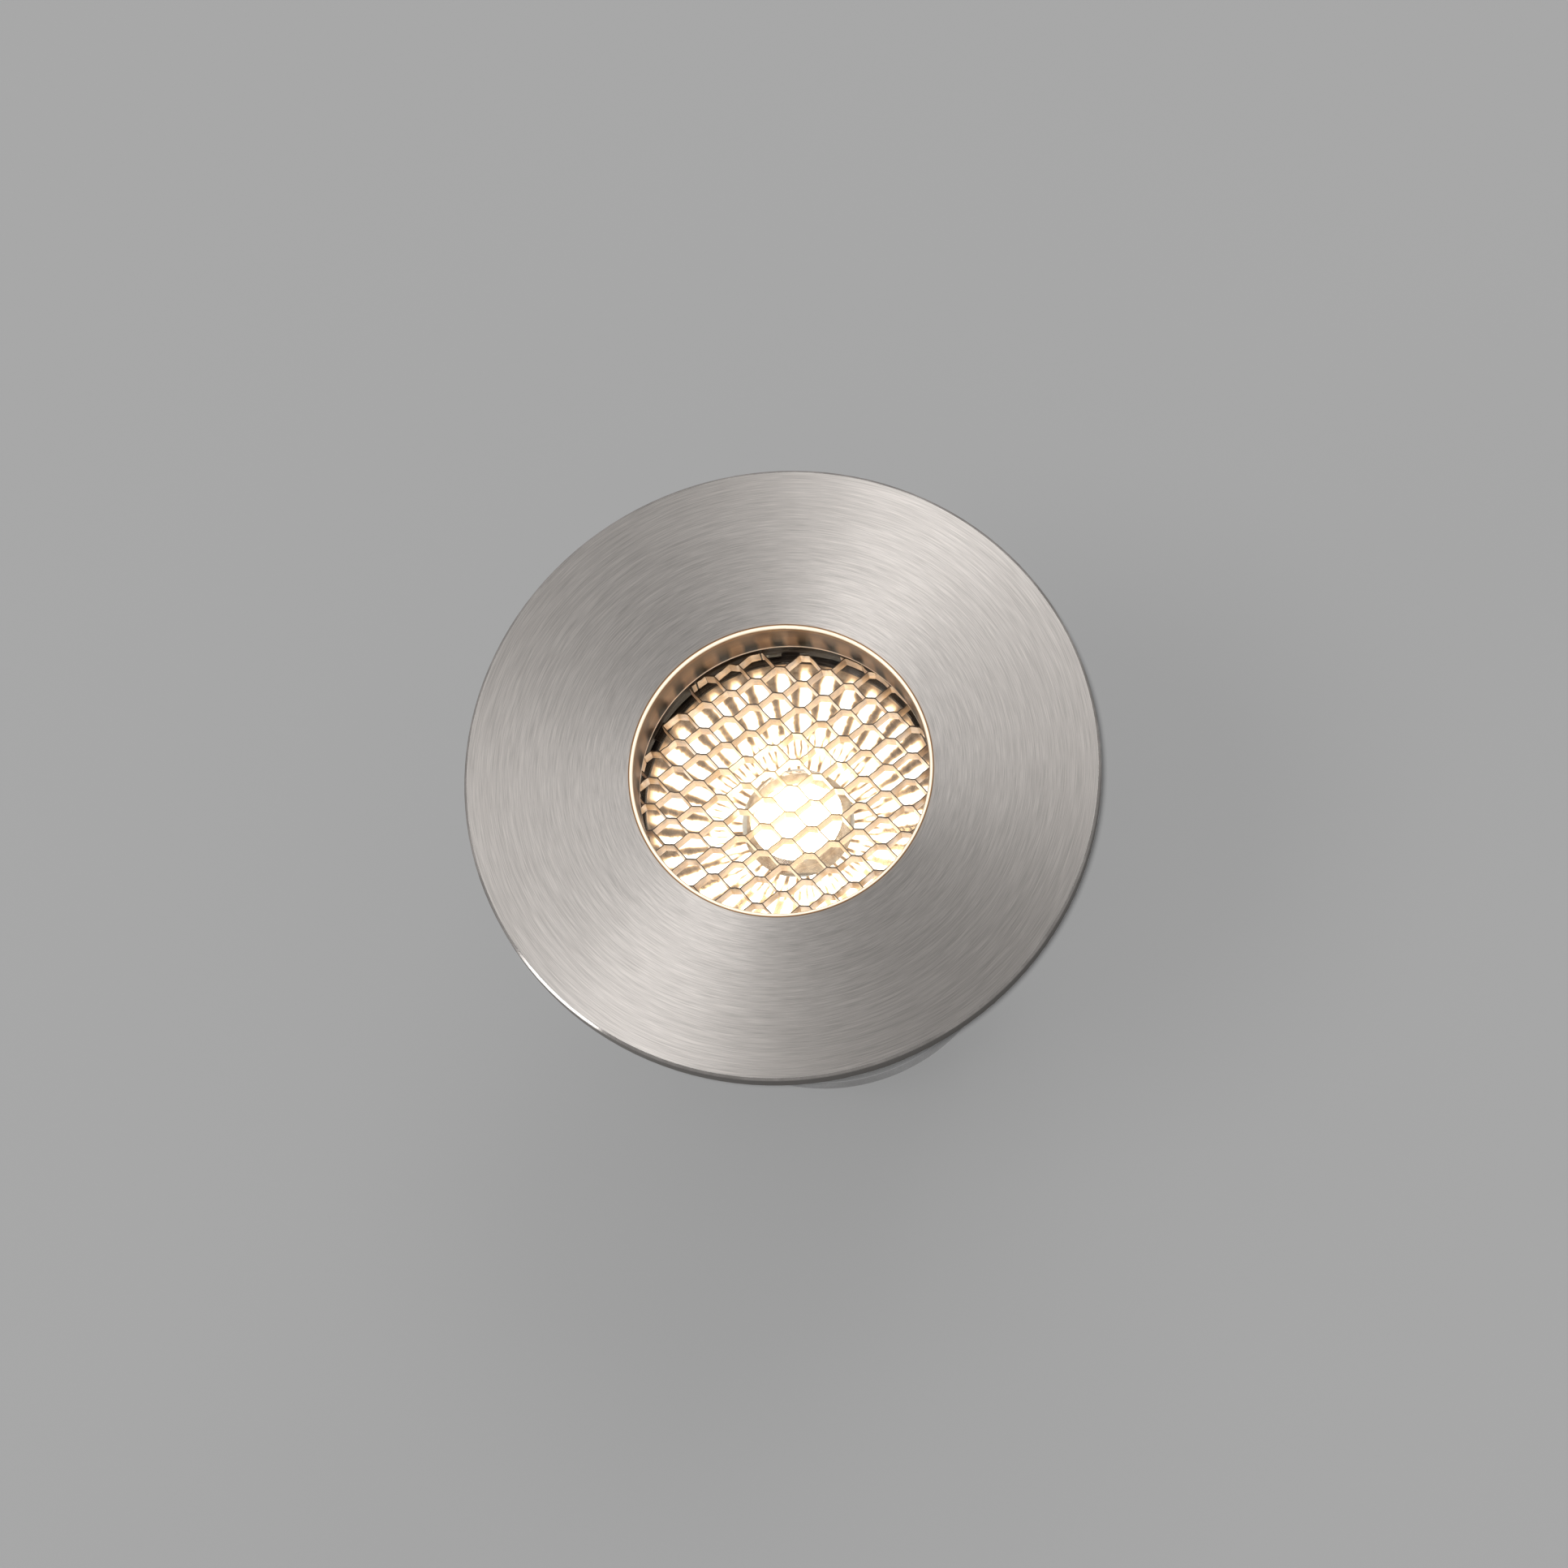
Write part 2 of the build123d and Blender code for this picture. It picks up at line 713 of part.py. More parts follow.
keep(driver_board.part, "driver_board")



def under_board(x_share, y_share, drop=0):
    """A plane facing down under the driver board, placed by shares of the board's diameter."""
    place = (x_share * driver_board_d, y_share * driver_board_d, z_driver_bottom - drop)
    return Plane(place, x_dir=(1, 0, 0), z_dir=(0, 0, -1))


def board_block(l_share, w_share, height, y_share):
    """A box-shaped component under the driver board, with eased corners."""
    with BuildPart() as block:
        with BuildSketch(under_board(0, y_share)):
            Rectangle(l_share * driver_board_d, w_share * driver_board_d)
        extrude(amount=height)
        chamfer(block.faces().sort_by(Axis.Z)[0].edges(), length=small_edge)
    return block.part


# Driver parts, hanging from the board: inductor, capacitor, film filter, chip and terminal block
inductor_r = inductor_d_share * driver_board_d / 2
with BuildPart() as driver_inductor:
    with BuildSketch(under_board(inductor_x_share, inductor_y_share)):
        Circle(inductor_r)
    extrude(amount=inductor_h)
    with BuildSketch(under_board(inductor_x_share, inductor_y_share, inductor_cheek)):
        Circle(inductor_r)
        Circle(inductor_r - inductor_neck, mode=Mode.SUBTRACT)
    extrude(amount=inductor_h - 2 * inductor_cheek, mode=Mode.SUBTRACT)
keep(driver_inductor.part, "driver_inductor")
with BuildPart() as driver_capacitor:
    with BuildSketch(under_board(capacitor_x_share, capacitor_y_share)):
        Circle(capacitor_d_share * driver_board_d / 2)
    extrude(amount=capacitor_h)
    fillet(driver_capacitor.edges().filter_by(GeomType.CIRCLE), radius=small_edge)
keep(driver_capacitor.part, "driver_capacitor")
keep(board_block(filter_l_share, filter_w_share, filter_h, filter_y_share), "driver_filter")
keep(board_block(chip_l_share, chip_w_share, chip_h, chip_y_share), "driver_chip")

# Terminal block: a port for each pole in its side, and a screw over each port
pole_l = block_l_share * driver_board_d / block_poles
block_w = block_w_share * driver_board_d
block_mouth = Plane(
    (0, block_y_share * driver_board_d - block_w / 2, z_driver_bottom - block_h / 2),
    x_dir=(1, 0, 0),
    z_dir=(0, -1, 0),
)
with BuildPart() as terminal_block:
    add(board_block(block_l_share, block_w_share, block_h, block_y_share))
    with BuildSketch(block_mouth):
        with GridLocations(pole_l, block_h, block_poles, 1):
            Circle(block_port_share * pole_l / 2)
    extrude(amount=-block_port_depth, mode=Mode.SUBTRACT)
    with BuildSketch(under_board(0, block_y_share, block_h)):
        with GridLocations(pole_l, block_w, block_poles, 1):
            Circle(block_screw_share * pole_l / 2)
    extrude(amount=-block_h / 4, mode=Mode.SUBTRACT)
keep(terminal_block.part, "terminal_block")

# Rear cap with a lobe for each screw, its sealed plug and the gland's hole
plug_seal_z = z_base + plug_h / 2
with BuildPart() as rear_cap:
    with BuildSketch(Plane.XY.offset(z_cap)):
        Circle(cap_d / 2)
        with Locations(*[
            (boss_r * cos(radians(a)), boss_r * sin(radians(a))) for a in cap_screw_angles
        ]):
            Circle(boss_d / 2)
    extrude(amount=cap_t)
    chamfer(rear_cap.faces().sort_by(Axis.Z)[0].edges(), length=cap_edge)
    with BuildSketch(Plane.XY.offset(z_base)):
        Circle(plug_d / 2)
        Circle(plug_d / 2 - plug_wall, mode=Mode.SUBTRACT)
    extrude(amount=plug_h)
    with BuildSketch(Plane.XY.offset(plug_seal_z - plug_groove_w / 2)):
        Circle(plug_d / 2)
        Circle(plug_d / 2 - plug_groove_depth, mode=Mode.SUBTRACT)
    extrude(amount=plug_groove_w, mode=Mode.SUBTRACT)
    with BuildSketch(Plane.XY.offset(z_cap)):
        Circle(gland_thread_d / 2 + slip)
    extrude(amount=cap_t, mode=Mode.SUBTRACT)
    with BuildSketch(*polar_planes(z_cap, boss_r, cap_screw_angles)):
        Circle(m3_clear_d / 2)
    extrude(amount=cap_t, mode=Mode.SUBTRACT)
keep(rear_cap.part, "rear_cap")
plug_seal_r = plug_d / 2 - plug_groove_depth + seal_wire_d / 2 + slip
keep(seal_ring(plug_seal_r, seal_wire_d, plug_seal_z), "rear_cap_seal")
rear_cap_screws = socket_screws(
    polar_planes(z_cap, boss_r, cap_screw_angles, up=False),
    cap_t + m3_bite,
    m3_d,
    m3_head_d,
    m3_head_h,
    m3_hex,
    m3_hex_depth,
    m3_head_edge,
)
keep(rear_cap_screws, "rear_cap_screws")

# Cable gland: body through the cap, seal under its hexagon, locknut inside
z_gland_hex = z_cap - gland_seal_t
z_gland_thread = z_gland_hex - gland_hex_h
z_gland_end = z_gland_thread - gland_nose_h
z_locknut = z_base + locknut_h
thread_r = gland_thread_d / 2
keep(flat_ring(gland_hex, 2 * (thread_r + slip), z_gland_hex, z_cap), "gland_washer_seal")
with BuildPart() as gland_body:
    with BuildSketch(Plane.XY.offset(z_gland_end)):
        Circle(thread_r)
    extrude(amount=z_locknut + air_gap - z_gland_end)
    chamfer(gland_body.edges().filter_by(GeomType.CIRCLE), length=gland_edge)
    with BuildSketch(Plane.XY.offset(z_gland_thread)):
        RegularPolygon(gland_hex / 2, 6, major_radius=False)
    extrude(amount=gland_hex_h)
    with BuildSketch(Plane.XY.offset(z_gland_end)):
        Circle(cable_d / 2 + gland_wall / 2)
    extrude(amount=z_locknut + air_gap - z_gland_end, mode=Mode.SUBTRACT)
    with BuildSketch(Plane.XY.offset(z_gland_end)):
        Circle(gland_bore_d / 2)
    extrude(amount=seal_h, mode=Mode.SUBTRACT)
keep(gland_body.part, "gland_body")
with BuildPart() as gland_locknut:
    with BuildSketch(Plane.XY.offset(z_base)):
        RegularPolygon(gland_hex / 2, 6, major_radius=False)
        Circle(thread_r + slip, mode=Mode.SUBTRACT)
    extrude(amount=locknut_h)
keep(gland_locknut.part, "gland_locknut")

# Rubber seal that grips the cable, and the loose ring that presses it
z_seal_end = z_gland_end - seal_proud
z_thrust = z_seal_end - slip - thrust_t
keep(flat_ring(gland_bore_d - 2 * slip, cable_d, z_seal_end, z_gland_end + seal_h), "gland_seal")
keep(flat_ring(2 * (thread_r - air_gap), nut_mouth_d, z_thrust, z_thrust + thrust_t), "gland_thrust_ring")

# Gland nut: hexagon, then a domed end with the cable's mouth
z_nut_top = z_gland_thread - nut_gap
z_nut_end = z_thrust - slip - nut_end_t
with BuildPart() as gland_nut:
    with BuildSketch(Plane.XY.offset(z_nut_end)):
        Circle(gland_hex / 2 - slip)
    extrude(amount=z_nut_top - z_nut_end)
    fillet(gland_nut.edges().filter_by(GeomType.CIRCLE).group_by(Axis.Z)[0], radius=nut_end_t)
    with BuildSketch(Plane.XY.offset(z_nut_top)):
        RegularPolygon(gland_hex / 2, 6, major_radius=False)
    extrude(amount=-nut_hex_h)
    with BuildSketch(Plane.XY.offset(z_thrust - slip)):
        Circle(thread_r + slip)
    extrude(amount=z_nut_top - z_thrust + slip, mode=Mode.SUBTRACT)
    with BuildSketch(Plane.XY.offset(z_nut_end)):
        Circle(nut_mouth_d / 2)
    extrude(amount=nut_end_t, mode=Mode.SUBTRACT)
keep(gland_nut.part, "gland_nut")

# Spring clips. The first is built at +X, and the second is the same turned half round the axis.
arm_side = Plane(
    (pivot_x, 0, z_pivot), x_dir=(sin(radians(rest_angle)), 0, cos(radians(rest_angle))), z_dir=(0, 1, 0)
)
web_top = arm_outset + arm_t
web_mid = arm_outset + arm_t / 2
pad_corner_drop = (clip_pad_t / 2 - web_mid) * sin(radians(rest_angle))
arm_l = (-z_pivot - pad_tip_gap - pad_corner_drop) / cos(radians(rest_angle)) - clip_pad_side
with BuildPart() as clip_bracket:
    with BuildSketch(Plane.XY.offset(z_clip_low)):
        with Locations((pad_x + bracket_t / 2, 0)):
            Rectangle(bracket_t, bracket_w)
    extrude(amount=z_clip_top - z_clip_low)
    with BuildSketch(Plane.XZ):
        with Locations(((pad_x + pivot_x) / 2, z_pivot)):
            Rectangle(pivot_x - pad_x, ear_d)
        with Locations((pivot_x, z_pivot)):
            Circle(ear_d / 2)
            Circle(pin_d / 2 + slip, mode=Mode.SUBTRACT)
    extrude(amount=bracket_w / 2, both=True)
    with BuildSketch(Plane.XY.offset(z_pivot)):
        with Locations((pad_x + bracket_t + ear_d, 0)):
            Rectangle(2 * ear_d, bracket_w - 2 * bracket_t)
    extrude(amount=ear_d, both=True, mode=Mode.SUBTRACT)
    with BuildSketch(*clip_screw_planes(pad_x)[:2]):
        Circle(m2_d / 2 + side_gap)
    extrude(amount=bracket_t, mode=Mode.SUBTRACT)
with BuildPart() as clip_pin:
    with BuildSketch(Plane((pivot_x, 0, z_pivot), z_dir=(0, 1, 0))):
        Circle(pin_d / 2)
    extrude(amount=bracket_w / 2 + slip + pin_head_t, both=True)
    with BuildSketch(Plane((pivot_x, bracket_w / 2 + slip, z_pivot), z_dir=(0, 1, 0))):
        Circle(pin_head_d / 2)
    extrude(amount=pin_head_t)
    with BuildSketch(Plane((pivot_x, -bracket_w / 2 - slip, z_pivot), z_dir=(0, -1, 0))):
        Circle(pin_head_d / 2)
    extrude(amount=pin_head_t)
with BuildPart() as clip_arm:
    with BuildSketch(arm_side):
        with BuildLine():
            Polyline(
                (0, -arm_ear_drop),
                (arm_start, -arm_ear_drop),
                (arm_ear_l, arm_outset),
                (arm_l, arm_outset),
                (arm_l, web_top),
                (0, web_top),
                close=True,
            )
        make_face()
        Circle(arm_ear_drop)
        Circle(pin_d / 2 + slip, mode=Mode.SUBTRACT)
    extrude(amount=arm_w / 2, both=True)
    with BuildSketch(arm_side):
        with Locations((arm_ear_l / 2, arm_outset - arm_ear_l / 2)):
            Rectangle(2 * arm_ear_l, arm_ear_l)
        with Locations((arm_start / 2 - arm_start, 0)):
            Rectangle(3 * arm_start, 4 * arm_start)
    extrude(amount=arm_w / 2 - arm_t, both=True, mode=Mode.SUBTRACT)
    with BuildSketch(Plane(arm_side.origin, x_dir=arm_side.x_dir, z_dir=arm_side.y_dir)):
        with Locations(((arm_l + arm_ear_l) / 2, 0)):
            SlotOverall(arm_slot_l, arm_slot_w)
    extrude(amount=2 * web_top, both=True, mode=Mode.SUBTRACT)
with BuildPart() as clip_pad:
    with BuildSketch(arm_side):
        with Locations((arm_l + clip_pad_side - clip_pad_l / 2, web_mid)):
            RectangleRounded(clip_pad_l, clip_pad_t, clip_pad_edge)
            with GridLocations(clip_pad_l / (clip_pad_ribs + 1), clip_pad_t, clip_pad_ribs, 2):
                Circle(clip_pad_rib_d / 2)
    extrude(amount=arm_w / 2 + clip_pad_side, both=True)
    with BuildSketch(arm_side):
        with Locations((arm_l - clip_pad_l, web_mid)):
            Rectangle(2 * clip_pad_l, arm_t)
    extrude(amount=arm_w / 2, both=True, mode=Mode.SUBTRACT)

# Torsion spring: a leg under the arm's web, a coil round the pin and a foot along the bracket.
# The coil is a chain of quarter arcs, each tangent to the one before.
coil_r = coil_d / 2
tip_u = spring_reach
tip_v = arm_outset - wire_d / 2 - slip
coil_start = atan2(tip_v, tip_u) - acos(coil_r / hypot(tip_u, tip_v))
coil_end = atan2(-cos(radians(rest_angle)), -sin(radians(rest_angle)))
coil_sweep = 2 * pi * coil_turns + coil_start - coil_end
coil_h = coil_pitch * coil_sweep / (2 * pi)
coil_arcs = 4 * coil_turns + 2


def coil_point(step):
    """A point of the coil's helix, counted in arcs from the arm's leg."""
    angle = coil_start - coil_sweep * step / coil_arcs
    along = coil_h * (step / coil_arcs - 1 / 2)
    return arm_side.from_local_coords(Vector(coil_r * cos(angle), coil_r * sin(angle), along))


with BuildPart() as clip_spring:
    with BuildLine() as spring_line:
        run = Line(arm_side.from_local_coords(Vector(tip_u, tip_v, -coil_h / 2)), coil_point(0))
        for step in range(coil_arcs):
            run = TangentArc(run @ 1, coil_point(step + 1), tangent=run % 1)
        Line(run @ 1, run @ 1 - Vector(0, 0, spring_foot))
    spring_path = spring_line.wires()[0]
    with BuildSketch(Plane(spring_path @ 0, z_dir=spring_path % 0)):
        Circle(wire_d / 2)
    sweep(path=spring_path)

samples = [spring_path @ (step / (12 * coil_arcs)) for step in range(12 * coil_arcs + 1)]
half_turn = int(pi * coil_r / spring_path.length * len(samples)) + 1
least = min(
    (a - b).length for i, a in enumerate(samples) for b in samples[i + half_turn:]
)
print("least gap of the spring's wire to itself", round(least - wire_d, 2))

clip_pieces = {
    "clip_bracket": clip_bracket,
    "clip_pin": clip_pin,
    "clip_arm": clip_arm,
    "clip_pad": clip_pad,
    "clip_spring": clip_spring,
}
for name, piece in clip_pieces.items():
    other = piece.part.rotate(Axis.Z, 180)
    keep(piece.part, f"{name}_1")
    keep(other, f"{name}_2")
bracket_screws = socket_screws(
    clip_screw_planes(pad_x + bracket_t),
    bracket_t + m2_bite,
    m2_d,
    m2_head_d,
    m2_head_h,
    m2_hex,
    m2_hex_depth,
    m2_head_edge,
)
keep(bracket_screws, "bracket_screws")
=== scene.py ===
import bpy
import numpy as np
from mathutils import Matrix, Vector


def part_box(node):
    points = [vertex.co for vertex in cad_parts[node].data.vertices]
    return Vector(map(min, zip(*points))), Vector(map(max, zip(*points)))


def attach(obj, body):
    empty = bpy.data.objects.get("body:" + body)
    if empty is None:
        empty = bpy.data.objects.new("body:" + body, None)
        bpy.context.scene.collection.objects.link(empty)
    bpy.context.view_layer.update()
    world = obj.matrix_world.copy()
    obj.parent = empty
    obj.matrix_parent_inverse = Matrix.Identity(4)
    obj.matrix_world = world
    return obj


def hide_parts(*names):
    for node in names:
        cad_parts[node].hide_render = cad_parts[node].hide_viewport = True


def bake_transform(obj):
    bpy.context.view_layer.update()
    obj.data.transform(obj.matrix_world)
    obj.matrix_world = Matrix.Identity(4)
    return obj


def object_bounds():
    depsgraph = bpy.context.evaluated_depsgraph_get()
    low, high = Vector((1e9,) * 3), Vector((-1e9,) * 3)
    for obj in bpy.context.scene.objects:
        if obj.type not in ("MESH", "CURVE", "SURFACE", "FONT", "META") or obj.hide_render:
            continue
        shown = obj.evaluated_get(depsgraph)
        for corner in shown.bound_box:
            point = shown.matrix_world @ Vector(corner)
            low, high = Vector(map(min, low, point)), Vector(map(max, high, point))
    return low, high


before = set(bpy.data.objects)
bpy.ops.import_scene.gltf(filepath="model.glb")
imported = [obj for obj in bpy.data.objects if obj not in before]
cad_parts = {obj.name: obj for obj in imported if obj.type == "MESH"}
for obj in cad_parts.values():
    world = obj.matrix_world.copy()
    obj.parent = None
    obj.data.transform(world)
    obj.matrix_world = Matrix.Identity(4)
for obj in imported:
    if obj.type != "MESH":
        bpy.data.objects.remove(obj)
cad_box = [list(corner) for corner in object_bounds()]

# Camera: above the light, 18 degrees off its axis towards -Y and a little to +X, with +Y up in the picture.
# It looks a little past the middle of the trim's face, as the photograph is framed.
tilt, swing, distance, frame_width = np.radians(18.34), np.radians(17.62), 0.620, 0.1963
face_middle, aside, under = np.array([0, 0, 0.0012]), 0.00030, 0.00143
sensor = 36
sight = np.array([np.sin(tilt) * np.sin(swing), -np.sin(tilt) * np.cos(swing), np.cos(tilt)])
rightward = np.cross((0, 1, 0), sight)
rightward /= np.linalg.norm(rightward)
upward = np.cross(sight, rightward)
stand = face_middle + aside * rightward - under * upward + distance * sight
camera = bpy.data.objects.new("camera", bpy.data.cameras.new("camera"))
bpy.context.scene.collection.objects.link(camera)
pose = np.eye(4)
pose[:3, :4] = np.stack([rightward, upward, sight, stand], 1)
camera.matrix_world = Matrix(pose.tolist())
camera.data.sensor_width = sensor
camera.data.lens = sensor * distance / frame_width
camera.data.clip_start = 0.01
bpy.context.scene.camera = camera
bpy.context.scene.view_settings.view_transform = "Standard"

# Floor and studio: a plain grey floor that the light stands on, the same grey all round, and soft lamps.
# The lamps stand where their glints make the bow tie that a lathe-brushed face shows.
grey = (0.386, 0.386, 0.386)
# half of the floor's grey is its own, so that the shadow on it stays as soft and pale as in the photograph
own_share = 0.5
floor_half, floor_gap = 4.0, 0.00005
daylight_force = 0.7


def finish(name, colour, metallic=0.0, roughness=0.5, **plain):
    """A node material with one principled shader. Every plain value goes on the shader's own socket."""
    material = bpy.data.materials.new(name)
    material.use_nodes = True
    shader = material.node_tree.nodes["Principled BSDF"]
    plain = {"Base_Color": (*colour, 1), "Metallic": metallic, "Roughness": roughness, **plain}
    for socket, value in plain.items():
        shader.inputs[socket.replace("_", " ")].default_value = value
    return material


def node(owner, kind, **values):
    """A node of that kind, with each value put on the setting or socket of that name."""
    made = owner.node_tree.nodes.new("ShaderNode" + kind)
    for name, value in values.items():
        if hasattr(made, name):
            setattr(made, name, value)
        else:
            made.inputs[name.replace("_", " ")].default_value = value
    return made


def maths(owner, operation, *given):
    """A math node of that operation, with the given numbers on its sockets after the first."""
    made = node(owner, "Math", operation=operation)
    for place, number in enumerate(given, 1):
        made.inputs[place].default_value = number
    return made


def join(owner, *pairs):
    """Link each pair of sockets, from first to second."""
    for start, end in pairs:
        owner.node_tree.links.new(start, end)


def piece(name, points, faces, *materials):
    """A mesh object at the origin, linked into the scene, with these points, faces and materials."""
    mesh = bpy.data.meshes.new(name)
    mesh.from_pydata(np.asarray(points).tolist(), [], faces)
    for material in materials:
        mesh.materials.append(material)
    made = bpy.data.objects.new(name, mesh)
    bpy.context.scene.collection.objects.link(made)
    return made


floor_grey = finish(
    "floor_grey", [level * (1 - own_share) for level in grey], roughness=1.0, Specular_IOR_Level=0.0,
    Emission_Color=(*grey, 1), Emission_Strength=own_share,
)
floor_corners = [
    (x * floor_half, y * floor_half, cad_box[0][2] - floor_gap)
    for x, y in ((-1, -1), (1, -1), (1, 1), (-1, 1))
]
floor = piece("floor", floor_corners, [(0, 1, 2, 3)], floor_grey)

world = bpy.data.worlds.new("studio")
world.use_nodes = True
bpy.context.scene.world = world
rays = node(world, "LightPath")
seen = maths(world, "MAXIMUM")
shown = maths(world, "MAXIMUM")
either = node(world, "MixShader")
daylight = world.node_tree.nodes["Background"]
daylight.inputs["Color"].default_value = (1, 1, 1, 1)
daylight.inputs["Strength"].default_value = daylight_force
backdrop = node(world, "Background", Color=(*grey, 1), Strength=1.0)
join(
    world,
    (rays.outputs["Is Camera Ray"], seen.inputs[0]),
    (rays.outputs["Is Glossy Ray"], seen.inputs[1]),
    (seen.outputs[0], shown.inputs[0]),
    (rays.outputs["Is Transmission Ray"], shown.inputs[1]),
    (shown.outputs[0], either.inputs[0]),
    (daylight.outputs[0], either.inputs[1]),
    (backdrop.outputs[0], either.inputs[2]),
    (either.outputs[0], world.node_tree.nodes["World Output"].inputs["Surface"]),
)
# each lamp: compass bearing, degrees from overhead, width in degrees and strength
lamps = {
    "front_left": (210, 24, 20, 0.50),
    "above_right": (60, 24, 20, 0.24),
    "behind": (90, 38, 20, 0.17),
    "far_right": (60, 54, 24, 0.28),
    "low_left": (209, 80, 24, 0.5),
}
for name, (bearing, lean, width, strength) in lamps.items():
    lamp = bpy.data.lights.new(name, "SUN")
    lamp.energy, lamp.angle = strength, np.radians(width)
    holder = bpy.data.objects.new(name, lamp)
    bpy.context.scene.collection.objects.link(holder)
    bearing, lean = np.radians(bearing), np.radians(lean)
    away = np.array([np.sin(lean) * np.cos(bearing), np.sin(lean) * np.sin(bearing), np.cos(lean)])
    side = np.cross((0, 1, 0), away)
    side /= np.linalg.norm(side)
    turn = np.eye(4)
    turn[:3, :3] = np.stack([side, np.cross(away, side), away], 1)
    holder.matrix_world = Matrix(turn.tolist())

# Contact shadow: the ground that the trim lies on isn't built, but its narrow dark line of shade is, as a
# flat ring round the trim's foot. It is darkest right at the trim and fades within a millimetre.
trim_r = cad_box[1][0]
shade_gap, shade_width, shade_lift = 0.00002, 0.0022, 0.00002
shade_dark_r, shade_clear_r, shade_force, shade_softness = 0.0394, 0.0403, 0.93, 1.6
# the light comes from the left, so the shade lies half a millimetre over to the right and a little down
shade_shift = (-0.00048, 0.00013, 0)


def flat_ring(inner_r, outer_r, height, columns, rows):
    """Points and faces of a flat ring: radius runs evenly over the rows, angle evenly over the columns."""
    radius = np.linspace(inner_r, outer_r, rows)[:, None]
    angle = np.linspace(0, 2 * np.pi, columns, endpoint=False)[None]
    points = np.stack([radius * np.cos(angle), radius * np.sin(angle), np.full((rows, columns), height)], -1)
    return points.reshape(-1, 3), grid_faces(rows, columns)


def grid_faces(rows, columns):
    """Faces between the points of a grid whose last column meets its first."""
    index = np.arange(rows * columns).reshape(rows, columns)
    beside = np.roll(index, -1, 1)
    return np.stack([index[:-1], index[1:], beside[1:], beside[:-1]], -1).reshape(-1, 4).tolist()


shadow = finish("contact_shadow", (0.03, 0.03, 0.03), roughness=1.0, Specular_IOR_Level=0.0)
spot = node(shadow, "TexCoord")
moved = node(shadow, "Mapping", Location=shade_shift)
far = node(shadow, "VectorMath", operation="LENGTH")
fade = node(shadow, "MapRange", From_Min=shade_dark_r, From_Max=shade_clear_r, To_Min=shade_force, To_Max=0.0)
softer = maths(shadow, "POWER", shade_softness)
nothing = node(shadow, "BsdfTransparent")
shaded_ground = node(shadow, "MixShader")
join(
    shadow,
    (spot.outputs["Object"], moved.inputs[0]),
    (moved.outputs[0], far.inputs[0]),
    (far.outputs["Value"], fade.inputs["Value"]),
    (fade.outputs[0], softer.inputs[0]),
    (softer.outputs[0], shaded_ground.inputs[0]),
    (nothing.outputs[0], shaded_ground.inputs[1]),
    (shadow.node_tree.nodes["Principled BSDF"].outputs[0], shaded_ground.inputs[2]),
    (shaded_ground.outputs[0], shadow.node_tree.nodes["Material Output"].inputs["Surface"]),
)
shade_parts = flat_ring(trim_r + shade_gap, trim_r + shade_width, shade_lift, 180, 5)
shade_ring = piece("contact_shade", *shade_parts, shadow)

# Front ring: trim, lip and bore wall turned in one piece from stainless steel. Its face was brushed on the
# lathe, so the marks are short arcs round the axis. The lip is polished and catches the light of the optic.
lip_inner_r, lip_outer_r, lip_foot_z, lip_top_z = 0.01851, 0.01951, 0.0014, 0.0020
bore_inner_r, bore_outer_r, bore_foot_z, bore_top_z = 0.01865, 0.01875, -0.0045, 0.0019
edge_inner_r, edge_outer_r, edge_low_z, edge_high_z = 0.0396, 0.0397, 0.0021, 0.0023
bore_spots = 33


def dress(material, *names):
    """Give the CAD nodes of these names the material."""
    for name in names:
        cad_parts[name].data.materials.clear()
        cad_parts[name].data.materials.append(material)


def ramp(owner, *stops):
    """A colour ramp with these stops, each a place and a colour."""
    made = owner.node_tree.nodes.new("ShaderNodeValToRGB")
    bar = made.color_ramp.elements
    while len(bar) < len(stops):
        bar.new(1.0)
    for mark, (place, colour) in zip(bar, stops):
        mark.position = place
        mark.color = (*colour, 1)
    return made


def layer(owner, blend, share=None, under=None, over=None):
    """A colour mix that lays the colour over the one under it, by that share."""
    made = node(owner, "Mix", data_type="RGBA", blend_type=blend)
    if share is not None:
        made.inputs[0].default_value = share
    for socket, colour in ((6, under), (7, over)):
        if colour is not None:
            made.inputs[socket].default_value = (*colour, 1)
    return made


def from_axis(owner):
    """A point's place, the three parts of that, its distance from the axis, and its place laid flat."""
    place = node(owner, "TexCoord")
    parts = node(owner, "SeparateXYZ")
    reach = node(owner, "VectorMath", operation="LENGTH")
    flat = node(owner, "CombineXYZ")
    join(
        owner,
        (place.outputs["Object"], parts.inputs[0]),
        (parts.outputs[0], flat.inputs[0]),
        (parts.outputs[1], flat.inputs[1]),
        (flat.outputs[0], reach.inputs[0]),
    )
    return place, parts, reach, flat


def compass_angle(owner, parts):
    """The angle of a point round the axis, from the parts of its place."""
    made = maths(owner, "ARCTAN2")
    join(owner, (parts.outputs[1], made.inputs[0]), (parts.outputs[0], made.inputs[1]))
    return made


turned = finish(
    "turned_stainless", (0.59, 0.553, 0.524), metallic=1.0, roughness=0.38,
    Anisotropic=0.9, Anisotropic_Rotation=0.25, Emission_Strength=1.0,
)
steel = turned.node_tree.nodes["Principled BSDF"]
around = node(turned, "Tangent", direction_type="RADIAL", axis="Z")
place, parts, radius, flat = from_axis(turned)
compass = node(turned, "VectorMath", operation="NORMALIZE")
join(turned, (around.outputs[0], steel.inputs["Tangent"]), (flat.outputs[0], compass.inputs[0]))


